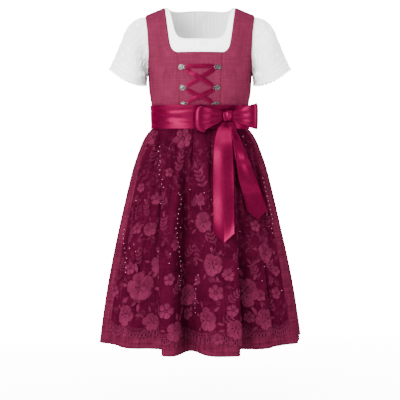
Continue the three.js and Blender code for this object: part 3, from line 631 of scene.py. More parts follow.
BODICE_CUTS = [  # width, length and area of the flat cut, in metres
    (0.094, 0.132, 0.0122), (0.12, 0.24, 0.0208), (0.165, 0.24, 0.031), (0.12, 0.24, 0.0208),
    (0.165, 0.24, 0.031),
]
for piece, (width, length, area) in zip(bodice, BODICE_CUTS):
    declare(
        piece, (width, length), area=area, held="stretched",
        rests_on=["blouse_front", "blouse_back"],
    )

# %% [markdown]
# The skirt is four flared widths gathered into the waist seam. Filled out, it falls in
# soft cones from the gathers to the hem. The folds are listed in a table: where each
# starts at the waist, where it ends at the hem, how wide, how soft its flanks are and how
# far it stands out. Smaller troughs between them keep the cloth from looking regular.

# %% Skirt form
SKIRT = [  # level, half width, front depth, back depth, squareness
    (-232, 103.4, 80.8, 71.8, 2.4), (-262, 103.8, 81.8, 73.8, 2.4), (-267, 109, 87, 79, 2.35),
    (-280, 116.5, 92, 84, 2.3), (-300, 125.5, 97, 90, 2.2), (-343, 141.5, 105, 101, 2.1),
    (-400, 157.5, 113, 113, 2), (-465, 173, 121, 124, 2), (-535, 188, 129, 134, 2),
    (-605, 201, 135, 143, 2), (-665, 210, 139, 149, 2), (-716, 216.5, 142, 154, 2),
]
FOLDS = [  # turn at the waist, turn at the hem, half width, two flanks, depth at the hem
    (-120, -103.6, 16, 5.5, 7, 74), (-74, -80.2, 30, 12, 4, 74), (-142, -131, 24, 15, 12, 17),
    (-50, -54, 22, 11, 14, 15), (-22, -24, 16, 12, 12, 11), (-163, -160, 16, 12, 12, 11),
    (18, 20, 18, 10, 14, 22), (48, 45, 20, 12, 9, 34), (76, 72, 18, 9, 12, 40),
    (101, 103, 22, 12, 9, 44), (130, 133, 19, 9, 13, 32), (160, 159, 17, 13, 10, 20),
]
TROUGHS = [  # turn at the waist, turn at the hem, half width, depth, deepest level, spread
    (-103, -98.5, 6, 13, -440, 120), (-80, -85, 5, 9, -340, 80), (-141, -136, 5, 10, -350, 70),
    (-122, -117, 5, 9, -420, 100), (-42, -46, 6, 11, -590, 100), (-149, -147, 5, 8, -520, 90),
    (-64, -68, 6, 10, -590, 100), (-111, -109, 4, 6, -350, 60), (-93, -92, 4, 6, -320, 60),
    (-132, -127, 5, 7, -600, 80), (-54, -57, 5, 8, -400, 80), (-33, -36, 5, 8, -400, 90),
    (-14, -13, 5, 7, -540, 100), (-167, -170, 5, 7, -440, 100), (8, 6, 5, 7, -470, 100),
    (22, 24, 4, 6, -350, 70), (33, 32, 5, 9, -420, 110), (62, 59, 5, 9, -520, 110),
    (88, 87, 5, 10, -400, 120), (74, 70, 4, 6, -340, 60), (115, 118, 5, 9, -500, 110),
    (138, 141, 4, 6, -350, 70), (146, 146, 5, 8, -440, 100), (172, 170, 5, 7, -540, 100),
]
PLEATS, PLEAT_DEPTH = 43, 4.5
FOLD_GROWTH = 0.85
GATHERS, GATHER_DEPTH, GATHER_FULL, GATHER_GONE = 28, 2.6, 285, 430


def fold_depth(turn, level):
    drop = np.clip((SASH_BOTTOM - level) / (SASH_BOTTOM - HEM_LEVEL), 0, 1)
    per_turn = np.radians((curve(SKIRT, 1, level) + curve(SKIRT, 2, level)) / 2)
    depth = 0
    for top, hem, half, rising, falling, full in FOLDS:
        away = (((turn - lerp(top, hem, drop**0.6)) + 540) % 360 - 180) * per_turn
        bump = np.tanh((away + half) / rising) - np.tanh((away - half) / falling)
        depth = depth + full * drop**FOLD_GROWTH * bump / 2
    for top, hem, half, full, deepest, spread in TROUGHS:
        away = (((turn - lerp(top, hem, drop**0.6)) + 540) % 360 - 180) * per_turn
        reach = np.exp(-(((level - deepest) / spread) ** 2)) * drop**0.3
        depth = depth - full * reach * np.exp(-((away / half) ** 2))
    return depth


def gather_depth(turn, level):
    shown = smooth(-level, -SASH_BOTTOM, GATHER_FULL)
    shown = shown * (1 - smooth(-level, GATHER_FULL, GATHER_GONE))
    angle = np.radians(turn)
    uneven = 0.9 * np.sin(3 * angle + 0.4) + 0.6 * np.sin(5 * angle + 2)
    pleats = smooth(-level, 264, 300) * (1 - smooth(-level, 370, 590))
    soft = np.sin(PLEATS * angle + 1.6 * np.sin(4 * angle + 1) + 0.8 * np.sin(11 * angle))
    inward = PLEAT_DEPTH * pleats * (soft - 1) / 2
    return inward + GATHER_DEPTH * shown * np.sin(GATHERS * angle + uneven)


def skirt_surface(turn, level):
    angle = np.radians(turn)
    exponent = 2 / curve(SKIRT, 4, level)
    half = curve(SKIRT, 1, level)
    depth = np.where(np.sin(angle) < 0, curve(SKIRT, 2, level), curve(SKIRT, 3, level))
    flare = np.stack([np.cos(angle) * depth, np.sin(angle) * half], -1)
    flare /= np.linalg.norm(flare, axis=-1, keepdims=True)
    pushed = fold_depth(turn, level) + gather_depth(turn, level)
    x = half * power(np.cos(angle), exponent) + flare[..., 0] * pushed
    y = depth * power(np.sin(angle), exponent) + flare[..., 1] * pushed
    return np.stack([x, y, level + 0 * x], -1)


def on_skirt(level, turn, out):
    level, turn, out = spread(level, turn, out)
    return moved_out(skirt_surface, turn, level, out, 0.25, -1.5)


print("skirt folds", len(FOLDS), "and troughs", len(TROUGHS))

# %% Skirt widths
SKIRT_THICK = 1.1
SKIRT_LEVELS = finer(
    [-232.3, -262, -267, -280, -300, -343, -400, -465, -535, -605, -665, -706, -716], 11)
SKIRT_STARTS = {"front_left": -180, "front_right": -90, "back_right": 0, "back_left": 90}
for name, start in SKIRT_STARTS.items():
    piece = cloth(
        f"skirt_width_{name}", on_skirt, SKIRT_LEVELS,
        np.linspace(start + 0.02, start + 89.98, 96), SKIRT_THICK, skirt_linen, "skirt_cloth",
        [f"skirt_{name}"],
    )
    declare(
        piece, (0.44, 0.49), area=0.155, held="gathered",
        rests_on=["skirt_front_left", "skirt_back_right"],
    )

# %% [markdown]
# The apron is one gathered width of net. Net is a sheet of tiny holes, so its mesh is a
# smooth sheet and its holes are in the material. It lies a fraction of a millimetre over the
# skirt and ends in seven large scallops.

# %% Apron
APRON_FROM, APRON_TO, APRON_TOP, APRON_CUSP = -152, -30, -263.8, -671
APRON_SCALLOP, APRON_SCALLOPS, APRON_OUT, APRON_THICK = 13, 7, 1.1, 0.6


def apron_hem(turn):
    across = (turn - APRON_FROM) / (APRON_TO - APRON_FROM)
    return APRON_CUSP - APRON_SCALLOP * np.abs(np.sin(np.pi * APRON_SCALLOPS * across)) ** 0.8


def net_gathers(turn, level):
    """Fine gathers under the waistband, pushed out only, so the skirt stays clear."""
    shown = 1 - smooth(-level, 266, 350)
    angle = np.radians(turn)
    return 0.7 * shown * (1 + np.sin(74 * angle + 1.5 * np.sin(7 * angle)))


def on_apron(level, turn, out):
    lifted = 1.2 * smooth(-level, 610, 671)
    return on_skirt(level, turn, APRON_OUT + lifted + net_gathers(turn, level) + out)


def apron_at(drop, turn, out):
    return on_apron(lerp(APRON_TOP, apron_hem(turn), drop), turn, out)


apron = cloth(
    "apron_sheet", apron_at, np.linspace(0, 1, 76), np.linspace(APRON_FROM, APRON_TO, 281),
    APRON_THICK, net_cloth, "apron_net", ["apron_panel"],
)
print("apron scallops", APRON_SCALLOPS)

# %% [markdown]
# Every embroidered motif is modelled flat, in millimetres, and then laid on the apron: its
# width is measured along the cloth, round the folds, so that a flower on a fold's flank is as
# wide as one in front. A motif is a set of padded petals, as satin stitch over a filling is.

# %% Laying flat work on the apron
RING_TURNS = np.linspace(APRON_FROM - 3, APRON_TO + 3, 1281)
RING_LEVELS = np.arange(-690, -262, 4.0)
_turns, _levels = np.meshgrid(RING_TURNS, RING_LEVELS)
RING_POINTS = on_skirt(_levels, _turns, APRON_OUT)
RING_LENGTHS = np.cumsum(
    np.pad(np.linalg.norm(np.diff(RING_POINTS, axis=1), axis=-1), [(0, 0), (1, 0)]), axis=1
)


def turn_at(x, level):
    """The turn of the foremost place of the apron at that x and level."""
    row = int(np.argmin(np.abs(RING_LEVELS - level)))
    points = RING_POINTS[row]
    near = np.abs(points[:, 0] - x) < 1.2
    if not near.any():
        return RING_TURNS[int(np.argmin(np.abs(points[:, 0] - x)))]
    return RING_TURNS[int(np.argmin(np.where(near, points[:, 1], 1e9)))]


def lay(points, turn, level, lift=0.0, on=on_apron):
    """Flat points (across, up, height) laid on the apron about a place."""
    row = int(np.argmin(np.abs(RING_LEVELS - level)))
    start = np.interp(turn, RING_TURNS, RING_LENGTHS[row])
    turns = np.interp(start + points[:, 0], RING_LENGTHS[row], RING_TURNS)
    return on(level + points[:, 1], turns, points[:, 2] + lift)


def turned(points, angle):
    c, s = math.cos(angle), math.sin(angle)
    x, y = points[:, 0] * c - points[:, 1] * s, points[:, 0] * s + points[:, 1] * c
    return np.stack([x, y, points[:, 2]], -1)


print("rings measured", len(RING_LEVELS))


class Heap:
    """Flat or laid shapes gathered into one mesh."""

    def __init__(self):
        self.points, self.faces, self.uvs, self.count = [], [], [], 0

    def add(self, points, faces, uvs=None):
        self.faces += [[int(corner) + self.count for corner in face] for face in faces]
        self.points.append(points)
        self.uvs.append(points[:, :2] * MM if uvs is None else uvs)
        self.count += len(points)

    def build(self, name, material, slot_name):
        made = new_object(
            name, np.concatenate(self.points), self.faces, material, np.concatenate(self.uvs)
        )
        place_on_body(made, slot_name)
        print(name, "faces", len(self.faces))
        return made


# %% Petals, leaves, cords and beads
ACROSS = np.array([-1, -0.84, -0.5, 0, 0.5, 0.84, 1])
ACROSS_RISE = np.array([0, 1, 0.6, 0.45, 0.6, 1, 0])
ALONG = np.array([0, 0.12, 0.35, 0.6, 0.8, 0.93, 1])
ALONG_RISE = np.array([0.3, 0.5, 0.55, 0.6, 0.7, 1, 0])


def padded(outline, length, width, rise, step=1):
    """A form along +Y with a raised rim. `outline` gives its share of the width at each place."""
    v, u = ALONG[::step, None], ACROSS[None, ::step]
    across, along = ACROSS_RISE[None, ::step], ALONG_RISE[::step, None]
    raised = np.maximum(across, along * (across > 0)) * np.where(v < 1, 1, 0)
    points = np.stack([u * width / 2 * outline(v), v * length + 0 * u, rise * raised], -1)
    return points.reshape(-1, 3), grid_faces(v.size, u.size)


def padded_shape(length, width, fatness, point, rise, step=1):
    """A leaf or narrow petal. `fatness` moves its widest place."""
    def outline(v):
        return np.maximum(np.sin(np.pi * (v * 0.985) ** fatness) ** point, 0.06)
    return padded(outline, length, width, rise, step)


def petal(length, width, base, rise):
    """A broad petal: a wedge from its base that ends in a round rim."""
    def outline(v):
        wedge = base + (1 - base) * np.minimum(1, v / 0.6) ** 0.9
        return wedge * np.sqrt(np.maximum(1 - (np.maximum(0, v - 0.5) / 0.51) ** 2.4, 0.02))
    return padded(outline, length, width, rise)


def cord_points(line, radius, sides=4):
    """A half-round cord that lies along a flat line, with its height as the third value."""
    line = np.asarray(line, float)
    along = np.gradient(line, axis=0)
    along /= np.linalg.norm(along, axis=1, keepdims=True) + 1e-9
    normal = np.stack([-along[:, 1], along[:, 0]], -1)
    angle = np.linspace(0, np.pi, sides + 1)
    side = normal[:, None, :] * (np.cos(angle) * radius)[None, :, None] + line[:, None, :]
    height = np.broadcast_to((np.sin(angle) * radius)[None, :], side.shape[:2])
    points = np.concatenate([side, height[..., None]], -1).reshape(-1, 3)
    return points, grid_faces(len(line), sides + 1)


def half_round(place, radius, sides=4):
    """A half-round cord from place(sideways, upward), which gives a whole line of points."""
    ring = []
    for k in range(sides + 1):
        angle = np.pi * k / sides
        ring.append(place(math.cos(angle) * radius, math.sin(angle) * radius))
    points = np.stack(ring, 1)
    return points.reshape(-1, 3), grid_faces(len(points), sides + 1)


def bead_points(radius, height):
    angle = np.linspace(0, 2 * np.pi, 9)[:-1]
    rings = [(radius, 0.0), (radius * 0.75, height * 0.7), (radius * 0.3, height)]
    points = [(r * math.cos(a), r * math.sin(a), h) for r, h in rings for a in angle]
    faces = []
    for ring in (0, 1):
        for i in range(8):
            j = (i + 1) % 8
            faces.append([ring * 8 + i, ring * 8 + j, ring * 8 + 8 + j, ring * 8 + 8 + i])
    faces.append(list(range(16, 24)))
    return np.array(points), faces


ROSE_RINGS = [  # petals, start, length, width and base as shares of the radius, height
    (5, 0.4, 0.6, 0.96, 0.8, 0.1), (5, 0.42, 0.42, 0.62, 0.7, 0.55),
    (5, 0.2, 0.36, 0.46, 0.6, 0.9), (3, 0.03, 0.22, 0.28, 0.5, 1.3),
]


def rose(radius, seed):
    """Petals in four rings round a coiled heart, each ring lower than the one inside it."""
    own = np.random.default_rng(seed)
    shapes = []
    for count, start, size, wide, base, height in ROSE_RINGS:
        first = own.uniform(0, 6.28)
        for i in range(count):
            points, faces = petal(
                radius * size * own.uniform(0.86, 1.16), radius * wide * own.uniform(0.92, 1.04),
                base, 1.0,
            )
            points[:, 1] += radius * start
            points[:, 2] += height + 0.2 * (i % 2)
            turn = first + 2 * np.pi * (i + own.uniform(-0.06, 0.06)) / count
            shapes.append((turned(points, turn), faces))
    coil = np.linspace(0.5, 9, 26)
    line = np.stack([np.cos(coil), np.sin(coil)], -1) * (coil / 9 * radius * 0.12)[:, None]
    points, faces = cord_points(line, 0.5)
    points[:, 2] += 1.1
    shapes.append((points, faces))
    return shapes


def flower(radius, petals, seed):
    """An open flower: one ring of broad petals and a bead in the middle."""
    own = np.random.default_rng(seed)
    shapes = []
    for i in range(petals):
        points, faces = petal(
            radius * own.uniform(0.68, 0.84), radius * 4.3 / petals, 0.3, 1.0
        )
        points[:, 1] += radius * 0.2
        shapes.append((turned(points, 2 * np.pi * i / petals + seed), faces))
    points, faces = bead_points(radius * 0.14, 1.5)
    shapes.append((points, faces))
    return shapes


def sprig(length, leaves, bend, seed, leaf=None, step=1):
    """A bent stem with pairs of pointed leaves and one at its tip."""
    own = np.random.default_rng(seed)
    leaf = leaf or length * 0.4
    f = np.linspace(0, 1, 14)[:: 2 * step - 1]
    line = np.stack([bend * f**2, length * f], -1)
    shapes = [cord_points(line, 0.55, 4 // step)]
    for i in range(leaves):
        place = (i + 0.8) / (leaves + 0.6)
        at = np.array([bend * place**2, length * place, 0])
        for side in (-1, 1):
            long = leaf * own.uniform(0.8, 1.1)
            points, faces = padded_shape(long, leaf * 0.36, 0.85, 0.8, 0.8, step)
            lean = side * own.uniform(0.7, 1.05) - math.atan2(2 * bend * place, length)
            shapes.append((turned(points, lean) + at, faces))
    points, faces = padded_shape(leaf * 1.1, leaf * 0.38, 0.85, 0.8, 0.8, step)
    tip = turned(points, -math.atan2(2 * bend, length)) + np.array([bend, length, 0])
    shapes.append((tip, faces))
    return shapes


# %% Embroidery on the apron
ROSES = [  # x, level, radius
    (-124, -590, 30), (92, -598, 29), (24, -537, 22), (5, -453, 22), (133, -520, 21),
    (-86, -540, 21), (-26, -602, 22), (12, -645, 23), (-157, -648, 22), (136, -655, 22),
    (-48, -668, 20), (72, -664, 20), (-100, -660, 19), (-104, -470, 15),
]
FLOWERS = [
    (30, -592, 17, 6), (-70, -628, 17, 5), (-26, -640, 13, 5), (100, -650, 13, 6),
    (0, -408, 14, 6), (-92, -408, 14, 5), (116, -464, 13, 5), (-36, -283, 21, 6),
    (-99, -280, 15, 5), (-146, -552, 14, 5), (58, -556, 14, 6), (160, -606, 14, 5),
    (-182, -604, 14, 5), (-48, -498, 12, 5), (-132, -470, 12, 5), (-62, -352, 10, 5),
    (98, -392, 11, 5), (-124, -386, 11, 5), (34, -682, 12, 5), (126, -606, 13, 5),
    (-60, -566, 13, 5), (66, -626, 13, 5), (160, -560, 12, 5), (-6, -570, 11, 5),
]
SPRIGS = [  # x, level of the foot, length, pairs of leaves, bend, lean in degrees
    (-46, -356, 38, 4, 5, 4), (6, -388, 44, 4, -7, -10), (-44, -312, 22, 3, 3, 24),
    (-8, -500, 30, 3, 5, 168), (34, -500, 30, 3, 5, -30), (-52, -600, 34, 4, 7, 20),
    (-98, -600, 32, 4, -6, -60), (56, -612, 32, 4, 7, 40), (122, -574, 34, 4, -7, -10),
    (-142, -622, 32, 4, 7, 50), (-152, -506, 30, 4, 4, 10), (-112, -448, 30, 4, -5, -10),
    (144, -474, 28, 4, 4, 0), (-30, -566, 28, 3, -5, -30), (44, -652, 28, 3, 4, 50),
    (-74, -474, 30, 4, 5, -20), (-106, -336, 26, 3, -4, 10), (-132, -326, 26, 4, 4, -5),
    (152, -566, 30, 4, 5, -10), (-168, -566, 28, 4, 3, 5), (112, -334, 24, 3, 4, 10),
    (-20, -424, 28, 4, 4, 36), (-66, -420, 28, 4, -4, -34), (158, -646, 26, 3, 3, -30),
    (-30, -530, 28, 3, 5, 24), (104, -566, 26, 3, -4, 40), (-122, -546, 26, 3, 5, -30),
    (46, -470, 26, 3, -4, 14), (-8, -624, 22, 3, 3, -60), (-90, -686, 20, 2, 3, 80),
]

thread = Heap()


def merged(shapes):
    """Several shapes as one list of points and one of faces."""
    points, faces, count = [], [], 0
    for part, its_faces in shapes:
        points.append(part)
        faces += [[int(corner) + count for corner in face] for face in its_faces]
        count += len(part)
    return np.concatenate(points), faces


def stitch_on(shapes, turn, level, lean=0.0, lift=0.05):
    points, faces = merged(shapes)
    laid = lay(turned(points, lean), turn, level, lift)
    thread.add(laid, faces, points[:, :2] * MM)


for i, (x, level, radius) in enumerate(ROSES):
    turn = turn_at(x, level)
    stitch_on(rose(radius, i), turn, level)
    for k in range(6):
        lean = 0.3 + k * 1.05 + rng.uniform(-0.3, 0.3)
        long = radius * rng.uniform(0.5, 0.75)
        points, faces = padded_shape(long, radius * 0.28, 0.85, 0.8, 0.9)
        points[:, 1] += radius * 1.07
        stitch_on([(points, faces)], turn, level, lean)
for i, (x, level, radius, petals) in enumerate(FLOWERS):
    stitch_on(flower(radius, petals, i), turn_at(x, level), level)
for i, (x, level, length, leaves, bend, lean) in enumerate(SPRIGS):
    stitch_on(sprig(length, leaves, bend, i), turn_at(x, level), level, -math.radians(lean))
print("main motifs", len(thread.points))

# %% [markdown]
# Between the flowers the net is filled with small leaves on curling stems. They thicken
# towards the hem and thin out towards the waist, as on bordered embroidered net.

# %% Filling, border and picots
taken = [(turn_at(x, level), level, radius * 1.1) for x, level, radius in ROSES]
taken += [(turn_at(x, level), level, radius) for x, level, radius, _ in FLOWERS]
taken += [(turn_at(x, level), level + length / 2, length * 0.5) for x, level, length, *_ in SPRIGS]


APRON_PER_TURN = 2.6


def free_place(turn, level, radius):
    for at_turn, at_level, room in taken:
        if math.hypot((turn - at_turn) * APRON_PER_TURN, level - at_level) < room + radius:
            return False
    return True


FILL_TRIES, FILL_LOW, FILL_SPAN, FILL_SMALL_ABOVE = 3600, -655, 370, -480
filled = 0
for _ in range(FILL_TRIES):
    turn = rng.uniform(APRON_FROM + 3, APRON_TO - 3)
    level = FILL_LOW + (rng.random() ** 1.7) * FILL_SPAN
    size = rng.uniform(4, 9) if level < FILL_SMALL_ABOVE else rng.uniform(3.5, 6.5)
    if not free_place(turn, level, size * 0.45):
        continue
    taken.append((turn, level, size * 0.9))
    shape = sprig(size * 1.6, int(rng.integers(1, 4)), rng.uniform(-5, 5), filled, size * 0.85, 2)
    stitch_on(shape, turn, level, rng.uniform(0, 6.28))
    filled += 1

SCALLOP_TURNS = (APRON_TO - APRON_FROM) / APRON_SCALLOPS
HEM_CORDS = [(2.2, 0.9), (6.5, 0.5), (9.5, 0.5)]  # how far above the edge, radius
for i in range(APRON_SCALLOPS):
    start = APRON_FROM + i * SCALLOP_TURNS
    for inset, radius in HEM_CORDS:
        turns = np.linspace(start, APRON_FROM + (i + 1) * SCALLOP_TURNS, 61)
        spare = 0.35 * inset / 13
        turns = lerp(turns, APRON_FROM + (i + 0.5) * SCALLOP_TURNS, spare * 0.4)
        points, faces = half_round(
            lambda off, rise: on_apron(apron_hem(turns) + inset + off, turns, 0.02 + rise), radius
        )
        run = travelled(on_apron(apron_hem(turns) + inset, turns, 0.3)[None], 1)[0]
        uvs = np.stack([run.repeat(5), np.tile(np.arange(5) * MM, 61)], -1)
        thread.add(points, faces, uvs)

EDGE_BARS = 96
for i in range(EDGE_BARS):
    turn = lerp(APRON_FROM + 0.6, APRON_TO - 0.6, (i + 0.5) / EDGE_BARS)
    points, faces = padded_shape(6.2, 2.2, 0.8, 0.7, 0.9)
    points[:, 1] += 3.4
    laid = lay(points, turn, float(apron_hem(turn)), 0.05)
    thread.add(laid, faces, points[:, :2] * MM)

PICOTS, PICOT_LONG, PICOT_WIDE, PICOT_CORD = 62, 11.5, 6.6, 1.0
for i in range(PICOTS):
    turn = lerp(APRON_FROM + 0.6, APRON_TO - 0.6, (i + 0.5) / PICOTS)
    angle = np.linspace(-np.pi, np.pi, 15)
    loop = np.stack([np.sin(angle) * PICOT_WIDE / 2 * np.cos(angle / 2.6) ** 0.5,
                     -(1 + np.cos(angle)) * PICOT_LONG / 2 + 1.0], -1)
    points, faces = cord_points(loop, PICOT_CORD, 4)
    laid = lay(points, turn, float(apron_hem(turn)), 0.0)
    thread.add(laid, faces, points[:, :2] * MM)
embroidery = thread.build("apron_embroidery", embroidery_thread, "apron_net")
print("fill sprigs", filled)

# %% [markdown]
# Small glass beads follow some of the folds in dotted lines and sit loose between the
# flowers. They catch the light, so they get a glossy material of their own.


# %% Beads
def speckled_material(name, scale, detail, stops, finish):
    """Glass or metal whose colour swings between two stops with a fine noise."""
    made = bpy.data.materials.new(name)
    made.use_nodes = True
    tree = made.node_tree
    shader = tree.nodes["Principled BSDF"]
    place = add_node(tree, "ShaderNodeTexCoord").outputs["Object"]
    noise = add_node(
        tree, "ShaderNodeTexNoise", {"Vector": place, "Scale": scale, "Detail": detail}
    )
    ramp = add_node(tree, "ShaderNodeValToRGB", {0: noise.outputs[0]})
    for stop, (position, colour) in zip(ramp.color_ramp.elements, stops):
        stop.position = position
        stop.color = (*colour, 1)
    tree.links.new(ramp.outputs[0], shader.inputs["Base Color"])
    for socket, value in finish.items():
        shader.inputs[socket].default_value = value
    return made


bead_glass = speckled_material(
    "bead_glass", 400.0, 2.0, [(0, (0.1, 0.015, 0.035)), (1, (0.34, 0.1, 0.17))],
    {"Roughness": 0.3, "Coat Weight": 0.2},
)
BEAD_RADIUS, BEAD_HEIGHT, BEAD_SPACING, LOOSE_BEADS = 1.05, 1.3, 9.6, 240
BEAD_LINES = [  # x, top, bottom
    (-42, -398, -590), (-160, -475, -566), (156, -366, -483), (-82, -300, -380),
    (-8, -560, -640),
]
beads = Heap()
bead_shape, bead_faces = bead_points(BEAD_RADIUS, BEAD_HEIGHT)
for x, top, bottom in BEAD_LINES:
    for level in np.arange(top, bottom, -BEAD_SPACING):
        turn = turn_at(x + 4 * math.sin(level / 23) + rng.uniform(-2.6, 2.6), level)
        beads.add(lay(bead_shape, turn, level, 0.1), bead_faces)
for _ in range(LOOSE_BEADS):
    turn = rng.uniform(APRON_FROM + 2, APRON_TO - 2)
    level = rng.uniform(-660, -270)
    if free_place(turn, level, 1.5):
        beads.add(lay(bead_shape * rng.uniform(0.7, 1.1), turn, level, 0.1), bead_faces)
apron_beads = beads.build("apron_beads", bead_glass, "apron_net")
declare(
    apron, (0.62, 0.42), area=0.2, held="gathered",
    rests_on=["skirt_front_left", "skirt_front_right"], with_pieces=[embroidery, apron_beads],
)

# %% [markdown]
# The sash, its bow and the lacing are one satin ribbon. Satin shows its form only by its
# shine, so its folds are modelled: long ones along the sash, fans of them in the loops where
# the knot pinches the ribbon, and soft waves down the hanging ends.

# %% Sash
SASH_OUT, SASH_THICK, SASH_PER_TURN = 4.2, 0.8, 1.8
SASH_FOLDS = [  # turn, level, lean, length, width, depth
    (-148, -222, 88, 60, 4.0, -1.1), (-128, -238, 93, 70, 5.0, -1.5),
    (-150, -252, 90, 60, 3.6, -1.1), (-112, -224, 85, 40, 3.6, -1.0),
    (-98, -246, 92, 50, 4.2, -1.2), (-40, -228, 94, 50, 3.8, -1.1),
    (-22, -246, 87, 50, 3.8, -1.1), (-66, -255, 92, 40, 2.6, -0.9), (20, -226, 91, 80, 3.4, -1.0),
    (60, -240, 87, 80, 3.8, -1.2), (100, -229, 92, 80, 3.4, -1.0), (140, -246, 88, 80, 3.8, -1.1),
    (40, -252, 92, 60, 3.0, -0.9), (165, -224, 90, 60, 3.2, -0.9),
]


def on_sash(level, turn, out):
    over_hooks = 2.6 * smooth(level, -240, SASH_TOP) * smooth(-np.sin(np.radians(turn)), 0.2, 0.8)
    wave = 0.5 * np.sin(7 * np.radians(turn) + level / 11)
    folds = creased(SASH_FOLDS, turn, level, SASH_PER_TURN)
    return on_figure(turn, level, SASH_OUT + over_hooks + wave + folds + out)


sashes = []
for name, start in (("front", -180), ("back", 0)):
    sashes.append(cloth(
        f"sash_band_{name}", on_sash, finer([SASH_BOTTOM, SASH_TOP], 1.7),
        np.linspace(start + 0.02, start + 179.98, 121), SASH_THICK, satin_cloth, "satin",
        [f"sash_{name}"],
    ))
declare(sashes[1], (0.052, 0.3), held="stretched", rests_on=["bodice_back_left"])

# %% Bow loops
KNOT_X, KNOT_Y, KNOT_Z = 56.4, -88.1, -236
KNOT_HALF = (10.6, 11.2, 12.6)
LOOPS = {
    "left": dict(side=-1, reach=60, end_z=-242, end_tall=59, knot_tall=19, front=18, rear=5,
                 backward=-7, bend=1, droop=-3, roundness=0.72, cut=0.12, top_corner=0.22,
                 low_corner=0.36, bulge=6.0, dent=3.5),
    "right": dict(side=1, reach=54, end_z=-236.5, end_tall=55, knot_tall=18, front=14, rear=7,
                  backward=8, bend=2, droop=1, roundness=0.5, cut=0.11, top_corner=0.04,
                  low_corner=0.05, bulge=3.5, dent=2.5),
}
LOOP_FOLDS = {  # across at the knot, across at the end, width, height, how far out, spread
    "left": [(0.5, 0.72, 0.28, 2.2, 0.45, 0.32), (-0.1, 0.05, 0.24, 2.4, 0.4, 0.3),
             (-0.7, -0.7, 0.26, 2.2, 0.46, 0.34)],
    "right": [(0.45, 0.6, 0.26, 1.8, 0.4, 0.28), (-0.1, -0.12, 0.22, 2.2, 0.36, 0.26),
              (-0.7, -0.85, 0.22, 1.6, 0.4, 0.3)],
}
RIBBON_THICK = 0.8


def hill(value, middle, width):
    return np.exp(-(((value - middle) / width) ** 2))


def loop_surface(loop, folds):
    def at(run, across):
        bow = np.sin(np.pi * np.clip(run, 0, 1))
        away = bow ** loop["roundness"]
        in_front = (1 + np.cos(np.pi * np.clip(run, 0, 1))) / 2
        rounded = 1 - np.maximum(1 - np.abs(np.clip(across, -1, 1)) ** 3, 0) ** 0.45
        corner = rounded * np.where(across > 0, loop["top_corner"], loop["low_corner"])
        reach = loop["reach"] * away * (1 - corner * smooth(away, 0.4, 1))
        x = KNOT_X + loop["side"] * (KNOT_HALF[0] + SEAM_GAP + reach)
        apart = lerp(4, np.where(run < 0.5, loop["front"], loop["rear"]), bow)
        tall = lerp(loop["knot_tall"], loop["end_tall"], away**0.8)
        forward = loop["bulge"] * hill(away, 0.86, 0.24) - loop["dent"] * hill(away, 0.34, 0.2)
        forward = forward * (1 - 0.5 * across**2)
        for at_knot, at_end, width, height, out, spread in folds:
            line = lerp(at_knot, at_end, away)
            forward = forward + height * hill(across, line, width) * hill(away, out, spread)
        y = KNOT_Y + loop["backward"] * away ** loop["bend"] - apart * np.cos(np.pi * run)
        y = y - forward * in_front**1.5
        z = lerp(KNOT_Z, loop["end_z"], away) + across * tall / 2
        return np.stack([x, y, z + loop["droop"] * away * np.cos(np.pi * run)], -1)
    return at


for name, loop in LOOPS.items():
    surface = loop_surface(loop, LOOP_FOLDS[name])
    piece = cloth(
        f"bow_ear_{name}",
        lambda run, across, out, s=surface, side=loop["side"]: moved_out(
            s, run, across, side * (RIBBON_THICK + np.asarray(out) + 0 * run), 0.012, 0.05),
        np.linspace(0, 1, 61), np.linspace(-1, 1, 31), RIBBON_THICK, satin_cloth, "satin",
        [f"bow_loop_{name}"],
    )
    declare(piece, (0.05, loop["cut"]), held="folded", rests_on=["sash_front"])

# %% Bow tails and knot
TAILS = {  # run, x, z, half width, how far it stands off
    "left": [(0, 50.6, -248.9, 5.6, 0), (0.08, 49, -262, 12, 4), (0.2, 48, -290, 18, 7),
             (0.42, 47.5, -345, 20.5, 7), (0.7, 48, -412, 21, 5), (1, 48.2, -474, 21, 4)],
    "right": [(0, 62.8, -248.9, 5.2, 0), (0.1, 67, -266, 9, 4), (0.3, 79, -306, 14, 9),
              (0.6, 96, -360, 18, 9), (1, 119, -431, 21, 6)],
}
TAIL_CLEAR, TAIL_POINT, TAIL_CURL = 2.9, 19, 0.7


def front_of_skirt(x, level):
    """The y of the skirt's front at x, by halving the span of turns."""
    low, high = np.full(x.shape, -175.0), np.full(x.shape, -5.0)
    for _ in range(14):
        middle = (low + high) / 2
        short = skirt_surface(middle, level)[..., 0] < x
        low, high = np.where(short, middle, low), np.where(short, high, middle)
    return skirt_surface(low, level)[..., 1]


